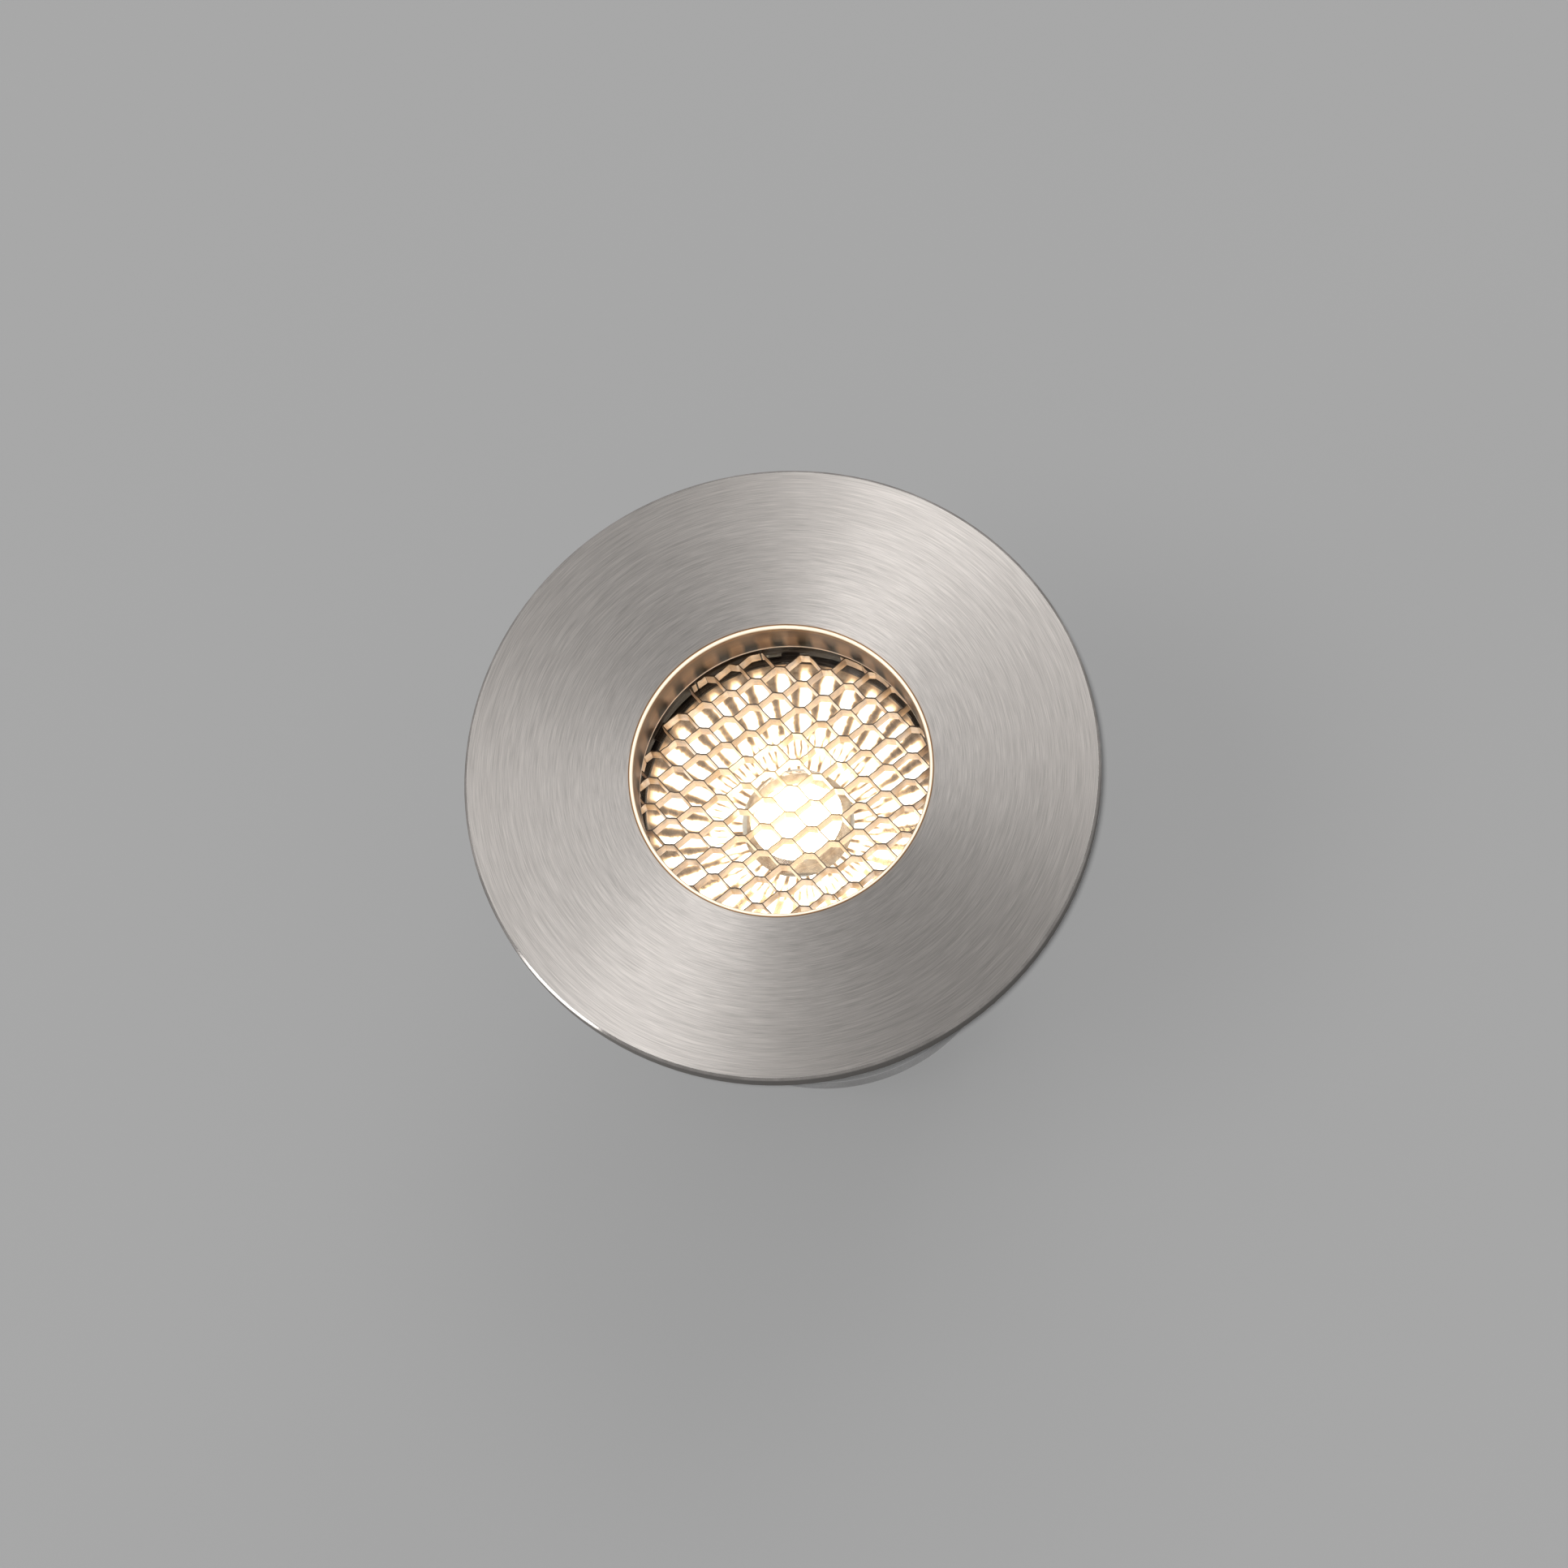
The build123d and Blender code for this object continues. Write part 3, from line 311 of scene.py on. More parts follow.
def arcs(per_turn, per_metre, detail):
    """Noise over the direction from the axis and over radius plus height: arcs with no seam round it."""
    long = node(turned, "VectorMath", operation="SCALE", Scale=per_turn)
    reach = maths(turned, "ADD")
    fine = maths(turned, "MULTIPLY", per_metre)
    lift = node(turned, "CombineXYZ")
    point = node(turned, "VectorMath", operation="ADD")
    noise = node(turned, "TexNoise", Scale=1.0, Detail=detail, Roughness=0.6)
    join(
        turned,
        (compass.outputs[0], long.inputs[0]),
        (radius.outputs["Value"], reach.inputs[0]),
        (parts.outputs[2], reach.inputs[1]),
        (reach.outputs[0], fine.inputs[0]),
        (fine.outputs[0], lift.inputs[2]),
        (long.outputs[0], point.inputs[0]),
        (lift.outputs[0], point.inputs[1]),
        (point.outputs[0], noise.inputs["Vector"]),
    )
    return noise


# brush marks and broader bands, in the steel's tone and in its gloss
marks, bands = arcs(8, 13000, 4.0), arcs(2.5, 2600, 3.0)
both = maths(turned, "MULTIPLY_ADD", 0.3)
tone = ramp(turned, (0.47, (0.46, 0.431, 0.408)), (0.83, (0.7, 0.656, 0.621)))
satin = node(turned, "MapRange", From_Min=0.3, From_Max=1.0, To_Min=0.34, To_Max=0.42)
# painted light on the lip, in its tint and its glow, by distance from the axis: cream where the optic lights
# it, then a thin golden-brown line
across = node(turned, "MapRange", From_Min=lip_inner_r, From_Max=lip_outer_r)
lip_painted_tint = ramp(
    turned,
    (0.0, (0.34, 0.265, 0.21)), (0.5, (0.4, 0.29, 0.2)), (0.57, (0.2, 0.13, 0.08)),
    (0.68, (0.25, 0.18, 0.12)), (0.75, (1, 1, 1)),
)
lip_glow = ramp(
    turned,
    (0.12, (0.1, 0.05, 0.02)), (0.24, (1.0, 0.88, 0.66)), (0.34, (1.0, 0.97, 0.86)), (0.5, (1.0, 0.93, 0.76)),
    (0.56, (0.32, 0.15, 0.05)), (0.66, (0.1, 0.05, 0.018)), (0.74, (0.04, 0.022, 0.009)), (1.0, (0, 0, 0)),
)
above = node(turned, "MapRange", From_Min=lip_foot_z, From_Max=lip_top_z)
lit = layer(turned, "MIX")
# the bore wall: a painted reflection, blurred dark spots where it would mirror the gaps between lit cells,
# and a painted lit line at its foot
wall_angle = compass_angle(turned, parts)
wall_turns = maths(turned, "MULTIPLY", bore_spots)
wall_wave = maths(turned, "COSINE")
blur = arcs(6, 300, 1.0)
spots = maths(turned, "MULTIPLY_ADD", 1.8)
spot_share = node(turned, "MapRange", From_Min=-0.1, From_Max=1.9)
reflected_spot_tone = ramp(turned, (0.22, (0.02, 0.015, 0.013)), (0.72, (1.15, 1.08, 1)))
inner = node(turned, "MapRange", From_Min=bore_inner_r, From_Max=bore_outer_r, To_Min=1.0, To_Max=0.0)
low_down = node(turned, "MapRange", From_Min=-0.0026, From_Max=0.0014, To_Min=1.0, To_Max=0.0)
where = maths(turned, "MULTIPLY")
reflection_spotted = layer(turned, "MULTIPLY")
# painted light and shade down the bore wall: darker at its foot and top, brightest halfway
shade = node(turned, "MapRange", From_Min=bore_foot_z, From_Max=bore_top_z)
deeper = ramp(turned, (0.0, (0.75, 0.7, 0.66)), (0.5, (1.25, 1.2, 1.12)), (0.95, (0.8, 0.76, 0.72)))
shaded = layer(turned, "MULTIPLY")
# a painted lit line at the bore wall's foot, as emission
foot_line = node(turned, "MapRange", From_Min=-0.0044, From_Max=-0.0040, To_Min=1.0, To_Max=0.0)
foot_where = maths(turned, "MULTIPLY")
foot_lit = layer(turned, "MIX", under=(0, 0, 0), over=(0.6, 0.45, 0.32))
tinted = layer(turned, "MULTIPLY", share=1.0)
# painted shade: the face is darker towards one side and the turned outer edge dark; its small bevel is
# polished
shade_slope = node(turned, "VectorMath", operation="DOT_PRODUCT")
shade_slope.inputs[1].default_value = (-0.643, 0.766, 0)
shade_slope_force = maths(turned, "MULTIPLY_ADD", 3.6, 0.97)
slope_shaded = node(turned, "VectorMath", operation="SCALE")
outside = node(turned, "MapRange", From_Min=edge_inner_r, From_Max=edge_outer_r)
below = node(turned, "MapRange", From_Min=edge_low_z, From_Max=edge_high_z, To_Min=1.0, To_Max=0.0)
edge_where = maths(turned, "MULTIPLY")
edge_shaded = layer(turned, "MULTIPLY", over=(0.4, 0.395, 0.39))
bevel_where = maths(turned, "SUBTRACT")
polish = maths(turned, "MULTIPLY_ADD", -0.2)
join(
    turned,
    (bands.outputs["Fac"], both.inputs[0]),
    (marks.outputs["Fac"], both.inputs[2]),
    (both.outputs[0], tone.inputs[0]),
    (both.outputs[0], satin.inputs["Value"]),
    (outside.outputs[0], bevel_where.inputs[0]),
    (edge_where.outputs[0], bevel_where.inputs[1]),
    (bevel_where.outputs[0], polish.inputs[0]),
    (satin.outputs[0], polish.inputs[2]),
    (polish.outputs[0], steel.inputs["Roughness"]),
    (radius.outputs["Value"], across.inputs["Value"]),
    (across.outputs[0], lip_painted_tint.inputs[0]),
    (across.outputs[0], lip_glow.inputs[0]),
    (wall_angle.outputs[0], wall_turns.inputs[0]),
    (wall_turns.outputs[0], wall_wave.inputs[0]),
    (blur.outputs["Fac"], spots.inputs[0]),
    (wall_wave.outputs[0], spots.inputs[2]),
    (spots.outputs[0], spot_share.inputs["Value"]),
    (spot_share.outputs[0], reflected_spot_tone.inputs[0]),
    (radius.outputs["Value"], inner.inputs["Value"]),
    (parts.outputs[2], low_down.inputs["Value"]),
    (parts.outputs[2], foot_line.inputs["Value"]),
    (inner.outputs[0], where.inputs[0]),
    (low_down.outputs[0], where.inputs[1]),
    (where.outputs[0], reflection_spotted.inputs[0]),
    (parts.outputs[2], shade.inputs["Value"]),
    (shade.outputs[0], deeper.inputs[0]),
    (inner.outputs[0], shaded.inputs[0]),
    (lip_painted_tint.outputs[0], shaded.inputs[6]),
    (deeper.outputs[0], shaded.inputs[7]),
    (shaded.outputs[2], reflection_spotted.inputs[6]),
    (reflected_spot_tone.outputs[0], reflection_spotted.inputs[7]),
    (inner.outputs[0], foot_where.inputs[0]),
    (foot_line.outputs[0], foot_where.inputs[1]),
    (foot_where.outputs[0], foot_lit.inputs[0]),
    (foot_lit.outputs[2], lit.inputs[6]),
    (tone.outputs[0], tinted.inputs[6]),
    (reflection_spotted.outputs[2], tinted.inputs[7]),
    (place.outputs["Object"], shade_slope.inputs[0]),
    (shade_slope.outputs["Value"], shade_slope_force.inputs[0]),
    (shade_slope_force.outputs[0], slope_shaded.inputs["Scale"]),
    (tinted.outputs[2], slope_shaded.inputs[0]),
    (radius.outputs["Value"], outside.inputs["Value"]),
    (parts.outputs[2], below.inputs["Value"]),
    (outside.outputs[0], edge_where.inputs[0]),
    (below.outputs[0], edge_where.inputs[1]),
    (edge_where.outputs[0], edge_shaded.inputs[0]),
    (slope_shaded.outputs[0], edge_shaded.inputs[6]),
    (edge_shaded.outputs[2], steel.inputs["Base Color"]),
    (parts.outputs[2], above.inputs["Value"]),
    (above.outputs[0], lit.inputs[0]),
    (lip_glow.outputs[0], lit.inputs[7]),
    (lit.outputs[2], steel.inputs["Emission Color"]),
)
dress(turned, "front_ring")

# Gaskets and seals: moulded black silicone, matt, with the fine grain of the mould and a little dust.
# They are held by the groove, the glass seat and the joints that squeeze them.


def grain(material, size, colours, rough, depth=0.0, stretch=(1, 1, 1), detail=4.0):
    """Noise in the piece's own metres. It runs from one colour to the other, moves the roughness between two
    values and gives a bump of that depth. size is the grain, and stretch draws it out along an axis."""
    shader = material.node_tree.nodes["Principled BSDF"]
    place = node(material, "TexCoord")
    drawn = node(material, "Mapping", Scale=tuple(1 / (size * s) for s in stretch))
    noise = node(material, "TexNoise", Scale=1.0, Detail=detail, Roughness=0.55)
    tone = ramp(material, (0.3, colours[0]), (0.7, colours[1]))
    dull = node(material, "MapRange", From_Min=0.3, From_Max=0.7, To_Min=rough[0], To_Max=rough[1])
    relief = node(material, "Bump", Strength=1.0, Distance=depth)
    join(
        material,
        (place.outputs["Object"], drawn.inputs[0]),
        (drawn.outputs[0], noise.inputs["Vector"]),
        (noise.outputs["Fac"], tone.inputs[0]),
        (tone.outputs[0], shader.inputs["Base Color"]),
        (noise.outputs["Fac"], dull.inputs["Value"]),
        (dull.outputs[0], shader.inputs["Roughness"]),
        (noise.outputs["Fac"], relief.inputs["Height"]),
        (relief.outputs[0], shader.inputs["Normal"]),
    )
    return material


silicone = grain(
    finish("black_silicone", (0.022, 0.02, 0.019), Specular_IOR_Level=0.25),
    0.0004, ((0.015, 0.014, 0.013), (0.03, 0.028, 0.026)), (0.6, 0.78), 0.00001,
)
dress(silicone, "seat_gasket", "glass_gasket", "clamp_gasket", "housing_seal", "rear_cap_seal")
dress(silicone, "lead_grommet", "gland_washer_seal", "gland_seal", "clip_pad_1", "clip_pad_2")

# Cover glass: a clear toughened disc with ground arrises, clamped between its two gaskets.
# It lets the lamps shine into the optic.


def let_lamps_in(material):
    """Let the lamps' light through, so that what lies behind the glass is lit and isn't black."""
    rays = node(material, "LightPath")
    clear = node(material, "BsdfTransparent")
    mix = node(material, "MixShader")
    join(
        material,
        (rays.outputs["Is Shadow Ray"], mix.inputs[0]),
        (material.node_tree.nodes["Principled BSDF"].outputs[0], mix.inputs[1]),
        (clear.outputs[0], mix.inputs[2]),
        (mix.outputs[0], material.node_tree.nodes["Material Output"].inputs["Surface"]),
    )


pane = finish("clear_glass", (0.98, 0.985, 0.98), roughness=0.0, Transmission_Weight=1.0, IOR=1.5)
let_lamps_in(pane)
dress(pane, "cover_glass")

# Louvre: honeycomb of thin aluminium foil, glued in strips, so one wall in three is double. It was cut to a
# disc, its edge cells are closed by a band of the foil, and it lies on the holder's tabs. The optic's light
# from below is painted on it as a glow.
louvre_low, louvre_high = (corner[2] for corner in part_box("louvre"))
louvre_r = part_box("louvre")[1][0] - 0.0001
cell_pitch, cell_step, flat_half, cell_turn = 0.0035, 0.00299, 0.0006, np.radians(-5.2)
cell_shift = np.array([0.00033, -0.00060])
# a cell counts where its middle is within whole_r, and a wall where more than least_share of it is left
whole_r, least_share, band_chords = 0.0184, 0.08, 288
foil_t, doubled_t, crinkle, crinkle_dip = 0.00013, 0.00019, 0.00006, 0.7
# crinkles run in two directions, each given by the radians of its wave per metre along X and along Y
crinkle_waves = ((5300, 3900), (2100, -7700))
window_r = 0.0195


def honeycomb_walls(pitch, step, flat, turn, shift, reach, whole):
    """Ends of every wall of a honeycomb inside a circle. Cell middles lie in columns a step apart, a pitch
    apart in each, every other column half a pitch up. A cell has a short flat top and foot, and its sides
    slope out to corners halfway up. Each cell owns its top and its two upper sides. A wall is made where a
    cell beside it has its middle within the whole radius. A wall that crosses the circle is cut, and short
    chords close its cells."""
    count = int(reach / step) + 3
    number = np.arange(-count, count + 1)
    column, row = (grid.ravel() for grid in np.meshgrid(number, number))
    middle = np.stack([column * step, (row + (column % 2) / 2) * pitch], 1) + shift
    corner = np.array([(step - flat, 0), (flat, pitch / 2), (-flat, pitch / 2), (flat - step, 0)])
    first, last = ((middle[:, None] + some[None]).reshape(-1, 2) for some in (corner[:-1], corner[1:]))
    doubled = np.tile([0, 1, 0], len(middle))
    beyond = middle[:, None] + np.array([(step, pitch / 2), (0, pitch), (-step, pitch / 2)])
    own_r, beyond_r = np.linalg.norm(middle, axis=1)[:, None], np.linalg.norm(beyond, axis=2)
    owned = np.minimum(own_r, beyond_r).ravel() < whole
    spin = np.array([[np.cos(turn), np.sin(turn)], [-np.sin(turn), np.cos(turn)]])
    middle, first, last = middle @ spin, first @ spin, last @ spin
    along = last - first
    square = (along**2).sum(1)
    nearest = -(first * along).sum(1) / square
    room = nearest**2 - ((first**2).sum(1) - reach**2) / square
    half = np.sqrt(np.clip(room, 0, None))
    begin, end = np.clip(nearest - half, 0, 1), np.clip(nearest + half, 0, 1)
    kept = (room > 0) & (end - begin > least_share) & owned
    angle = np.linspace(0, 2 * np.pi, band_chords + 1)
    edge = reach * np.stack([np.cos(angle), np.sin(angle)], 1)
    own_cell = np.linalg.norm(edge[:-1, None] - middle[None], axis=2).argmin(1)
    closing = np.linalg.norm(middle[own_cell], axis=1) < whole
    return (
        np.concatenate([(first + begin[:, None] * along)[kept], edge[:-1][closing]]),
        np.concatenate([(first + end[:, None] * along)[kept], edge[1:][closing]]),
        np.concatenate([doubled[kept], np.zeros(closing.sum(), dtype=int)]),
    )


def foil_strips(first, last, thickness, low, high, sway):
    """One thin closed strip for each wall: five stations along it, each a loop of six points up one side and
    down the other. Its top edge sways sideways and dips by sines of its place, most at the middle."""
    walls, stations = len(first), 5
    share = np.linspace(0, 1, stations)[None, :, None]
    middle = first[:, None] + share * (last - first)[:, None]
    along = (last - first) / np.linalg.norm(last - first, axis=1, keepdims=True)
    across = np.stack([-along[:, 1], along[:, 0]], 1)[:, None]
    x, y = middle[..., :1], middle[..., 1:]
    wave = sum(np.sin(x * by_x + y * by_y) for by_x, by_y in crinkle_waves)
    wave *= sway / 2 * 4 * share * (1 - share)
    height = np.array([low, (low + high) / 2, high])
    points = np.empty((walls, stations, 6, 3))
    for loop, (level, way) in enumerate([(0, 1), (1, 1), (2, 1), (2, -1), (1, -1), (0, -1)]):
        points[:, :, loop, :2] = middle + across * (way * thickness[:, None, None] / 2 + wave * level / 2)
        points[:, :, loop, 2] = height[level] - (level == 2) * np.abs(wave[..., 0]) * crinkle_dip
    corner = np.arange(walls * stations * 6).reshape(walls, stations, 6)
    beside = np.roll(corner, -1, 2)
    sides = np.stack([corner[:, :-1], beside[:, :-1], beside[:, 1:], corner[:, 1:]], -1).reshape(-1, 4)
    ends = np.concatenate([corner[:, 0, ::-1], corner[:, -1]])
    return points.reshape(-1, 3), sides.tolist() + ends.tolist()


foil = finish("lit_foil", (0.35, 0.27, 0.19), metallic=0.4, roughness=0.3, Emission_Strength=1.0)
foil_shader = foil.node_tree.nodes["Principled BSDF"]
foil_place, foil_parts, foil_reach = from_axis(foil)[:3]
foil_face = node(foil, "SeparateXYZ")
foil_noise = node(foil, "TexNoise", Scale=520.0, Detail=6.0, Roughness=0.72)
foil_share = node(foil, "MapRange", From_Min=0.0, From_Max=window_r, To_Min=-0.46, To_Max=0.28)
foil_mottle = maths(foil, "MULTIPLY_ADD", 1.35)
# painted light of the optic: a warm mottled glow, brightest near the axis and towards the foot of each wall
foil_glow = ramp(
    foil,
    (0.08, (1.0, 0.8, 0.46)), (0.25, (0.9, 0.6, 0.28)), (0.5, (0.62, 0.38, 0.17)),
    (0.8, (0.34, 0.19, 0.09)), (1.0, (0.13, 0.07, 0.04)),
)
foil_rise = node(foil, "MapRange", From_Min=louvre_low, From_Max=louvre_high, To_Min=1.15, To_Max=0.72)
# painted light and shade, in glow and in base colour: the cut edge on top is left dark, but near the LED the
# painted light floods that too
foil_edge = node(foil, "MapRange", From_Min=0.4, From_Max=0.7, To_Min=1.0, To_Max=0.09)
foil_middle = node(foil, "MapRange", From_Min=0.003, From_Max=0.009, To_Min=0.75, To_Max=0.0)
foil_bright = maths(foil, "MAXIMUM")
foil_dim = maths(foil, "MULTIPLY")
foil_lit = node(foil, "VectorMath", operation="SCALE")
foil_painted_base = ramp(foil, (0.0, (0.07, 0.045, 0.03)), (1.0, (0.33, 0.25, 0.17)))
join(
    foil,
    (foil_place.outputs["Normal"], foil_face.inputs[0]),
    (foil_place.outputs["Object"], foil_noise.inputs["Vector"]),
    (foil_reach.outputs["Value"], foil_share.inputs["Value"]),
    (foil_noise.outputs["Fac"], foil_mottle.inputs[0]),
    (foil_share.outputs[0], foil_mottle.inputs[2]),
    (foil_mottle.outputs[0], foil_glow.inputs[0]),
    (foil_parts.outputs[2], foil_rise.inputs["Value"]),
    (foil_face.outputs[2], foil_edge.inputs["Value"]),
    (foil_rise.outputs[0], foil_dim.inputs[0]),
    (foil_reach.outputs["Value"], foil_middle.inputs["Value"]),
    (foil_edge.outputs[0], foil_bright.inputs[0]),
    (foil_middle.outputs[0], foil_bright.inputs[1]),
    (foil_bright.outputs[0], foil_dim.inputs[1]),
    (foil_glow.outputs[0], foil_lit.inputs[0]),
    (foil_dim.outputs[0], foil_lit.inputs["Scale"]),
    (foil_lit.outputs[0], foil_shader.inputs["Emission Color"]),
    (foil_bright.outputs[0], foil_painted_base.inputs[0]),
    (foil_painted_base.outputs[0], foil_shader.inputs["Base Color"]),
)
first, last, doubled = honeycomb_walls(
    cell_pitch, cell_step, flat_half, cell_turn, cell_shift, louvre_r, whole_r,
)
thickness = np.where(doubled == 1, doubled_t, foil_t)
honeycomb = piece(
    "honeycomb_foil", *foil_strips(first, last, thickness, louvre_low, louvre_high, crinkle), foil,
)
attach(honeycomb, "luminaire")
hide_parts("louvre")

# Collimator: clear moulded acrylic. Its flaring wall carries 36 radial flutes, each broken into small
# cushions that mirror the LED, and bright radial streaks of light are painted on it. A cavity under a crown
# takes the LED.
lens_low, lens_high = (corner[2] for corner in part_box("collimator"))
lens_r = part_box("collimator")[1][0]
rim_t, flare_top_r, foot_r = 0.0015, 0.0187, 0.0073
cavity_r, cavity_depth, cavity_crown = 0.0060, 0.0050, 0.0016
flutes, levels, flute_steps, level_steps = 36, 10, 8, 4
cushion, flute_rise = 0.040, 0.55
# top face and crown both end a hair off the axis, where a small facet closes each
axis_r, crown_last = 0.00005, 0.004


def fluted_wall(columns, rows):
    """Radius and height over angle and share of height. The radius follows a paraboloid, r squared running
    evenly from foot to top. Each flute swells from a polygon's flat by a parabola across it and another up
    each level."""
    share = np.linspace(1, 0, rows)[:, None]
    angle = np.linspace(0, 2 * np.pi, columns, endpoint=False)[None]
    radius = np.sqrt(foot_r**2 + (flare_top_r**2 - foot_r**2) * share)
    turn = np.pi / flutes
    off = angle % (2 * turn) - turn
    flat = radius * np.cos(turn) / np.cos(off)
    step = (share * levels) % 1
    swell = (1 - (off / turn) ** 2) * (flute_rise + (1 - flute_rise) * 4 * step * (1 - step))
    height = np.broadcast_to(lens_low + share * (lens_high - rim_t - lens_low), flat.shape)
    return flat + cushion * 2 * turn * radius * swell, height


columns, rows = flutes * flute_steps, levels * level_steps + 1
wall_r, wall_z = fluted_wall(columns, rows)
# profile before the wall: top face and rim, and after it: foot, cavity wall and crowned roof
crown = np.linspace(1, crown_last, 9)
before = [(r, lens_high) for r in (axis_r, 0.006, 0.012, lens_r)] + [(lens_r, lens_high - rim_t)]
after = [(cavity_r, lens_low), (cavity_r, lens_low + cavity_depth / 2)]
after += [(cavity_r * s, lens_low + cavity_depth - cavity_crown * (1 - s**2)) for s in crown]
before, after = (np.repeat(np.array(part)[:, :, None], columns, 2) for part in (before, after))
ring_r = np.concatenate([before[:, 0], wall_r, after[:, 0]])
ring_z = np.concatenate([before[:, 1], wall_z, after[:, 1]])
spread = np.linspace(0, 2 * np.pi, columns, endpoint=False)
lens_points = np.stack([ring_r * np.cos(spread), ring_r * np.sin(spread), ring_z], -1)
index = np.arange(ring_r.size).reshape(ring_r.shape)
lens_faces = grid_faces(*ring_r.shape) + [index[0].tolist(), index[-1, ::-1].tolist()]

optic = finish("clear_acrylic", (0.99, 0.98, 0.96), roughness=0.0, Transmission_Weight=1.0, IOR=1.49)
let_lamps_in(optic)
mirror = finish("fluted_mirror", (0.13, 0.1, 0.07), metallic=1.0, roughness=0.12, Emission_Strength=1.0)
mirror_shader = mirror.node_tree.nodes["Principled BSDF"]
mirror_place, mirror_parts, mirror_reach = from_axis(mirror)[:3]
# painted light: a bright streak in each flute, broader towards the LED, and two thin ones where the ramp
# halfway says so
flute_angle = compass_angle(mirror, mirror_parts)
times = maths(mirror, "MULTIPLY_ADD", flutes, np.pi)
bend = maths(mirror, "MULTIPLY_ADD", 0.7)
wave = maths(mirror, "COSINE")
twice = maths(mirror, "MULTIPLY", 2.0)
ripple = maths(mirror, "COSINE")
mirror_span = node(mirror, "MapRange", From_Min=0.0, From_Max=window_r)
halfway = ramp(mirror, (0.42, (0, 0, 0)), (0.5, (0.8, 0.8, 0.8)), (0.54, (0.8, 0.8, 0.8)), (0.6, (0, 0, 0)))
split = node(mirror, "Mix", data_type="FLOAT")
broader = node(mirror, "MapRange", From_Min=0.011, From_Max=0.018, To_Min=0.28, To_Max=-0.12)
broadened = maths(mirror, "ADD")
mirror_noise = node(mirror, "TexNoise", Scale=420.0, Detail=2.0)
sparkle = node(mirror, "TexNoise", Scale=1100.0, Detail=1.0)
stir = maths(mirror, "MULTIPLY_ADD", 1.3)
fret = maths(mirror, "MULTIPLY_ADD", 0.5)
streak = node(mirror, "MapRange", From_Min=-0.35, From_Max=1.6)
ends = ramp(mirror, (0.86, (1, 1, 1)), (0.96, (0.3, 0.3, 0.3)), (1.0, (0.2, 0.2, 0.2)))
rounded = maths(mirror, "MULTIPLY")
mirror_glow = ramp(
    mirror,
    (0.0, (0.07, 0.045, 0.03)), (0.2, (0.15, 0.1, 0.065)), (0.38, (0.42, 0.25, 0.13)),
    (0.5, (0.95, 0.68, 0.38)), (0.62, (1.0, 0.97, 0.9)),
)
mirror_force = node(mirror, "MapRange", To_Min=0.8, To_Max=2.4)
mirror_lit = node(mirror, "VectorMath", operation="SCALE")
join(
    mirror,
    (mirror_place.outputs["Object"], mirror_noise.inputs["Vector"]),
    (mirror_place.outputs["Object"], sparkle.inputs["Vector"]),
    (mirror_reach.outputs["Value"], mirror_span.inputs["Value"]),
    (mirror_span.outputs[0], halfway.inputs[0]),
    (flute_angle.outputs[0], times.inputs[0]),
    (sparkle.outputs["Fac"], bend.inputs[0]),
    (times.outputs[0], bend.inputs[2]),
    (bend.outputs[0], wave.inputs[0]),
    (bend.outputs[0], twice.inputs[0]),
    (twice.outputs[0], ripple.inputs[0]),
    (halfway.outputs[0], split.inputs[0]),
    (wave.outputs[0], split.inputs[2]),
    (ripple.outputs[0], split.inputs[3]),
    (mirror_reach.outputs["Value"], broader.inputs["Value"]),
    (split.outputs[0], broadened.inputs[0]),
    (broader.outputs[0], broadened.inputs[1]),
    (mirror_noise.outputs["Fac"], stir.inputs[0]),
    (broadened.outputs[0], stir.inputs[2]),
    (sparkle.outputs["Fac"], fret.inputs[0]),
    (stir.outputs[0], fret.inputs[2]),
    (fret.outputs[0], streak.inputs["Value"]),
    (mirror_span.outputs[0], ends.inputs[0]),
    (streak.outputs[0], rounded.inputs[0]),
    (ends.outputs[0], rounded.inputs[1]),
    (rounded.outputs[0], mirror_glow.inputs[0]),
    (rounded.outputs[0], mirror_force.inputs["Value"]),
    (mirror_glow.outputs[0], mirror_lit.inputs[0]),
    (mirror_force.outputs[0], mirror_lit.inputs["Scale"]),
    (mirror_lit.outputs[0], mirror_shader.inputs["Emission Color"]),
)
lens = piece("fluted_collimator", lens_points.reshape(-1, 3), lens_faces, optic, mirror)
slots = np.zeros(len(lens_faces), dtype=np.int32)
slots[len(before) * columns:(len(before) + rows - 1) * columns] = 1
lens.data.polygons.foreach_set("material_index", slots)
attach(lens, "luminaire")
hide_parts("collimator")

# Optic holder: a black moulded ring that centres louvre and collimator, with a skirt down to the board.
# The driver's chip is moulded in the same kind of black plastic.
black_plastic = grain(
    finish("black_plastic", (0.02, 0.015, 0.012), Specular_IOR_Level=0.25),
    0.0006, ((0.013, 0.01, 0.008), (0.026, 0.02, 0.016)), (0.5, 0.65), 0.000012,
)
dress(black_plastic, "optic_holder", "driver_chip")

# LED: a phosphor disc on a white ceramic base, soldered to a metal-core board with white mask.
# Two screws press the board and its grey thermal pad to the housing's floor.
phosphor = grain(
    finish("phosphor", (0.95, 0.82, 0.45), Emission_Color=(1.0, 0.86, 0.62, 1), Emission_Strength=8.0),
    0.0003, ((0.93, 0.78, 0.4), (0.97, 0.86, 0.52)), (0.5, 0.6),
)
dress(phosphor, "led_emitter")
ceramic = grain(
    finish("ceramic_white", (0.6, 0.5, 0.38)), 0.0012, ((0.34, 0.23, 0.15), (0.8, 0.7, 0.56)), (0.45, 0.55),
)
dress(ceramic, "led_base")
board = grain(
    finish("board_white", (0.82, 0.83, 0.8)),
    0.002, ((0.8, 0.81, 0.78), (0.84, 0.85, 0.82)), (0.35, 0.5), 0.000004,
)
dress(board, "led_board")
pad = grain(
    finish("thermal_grey", (0.42, 0.45, 0.5)),
    0.0005, ((0.4, 0.43, 0.48), (0.45, 0.48, 0.53)), (0.7, 0.8), 0.00001,
)
dress(pad, "thermal_pad")

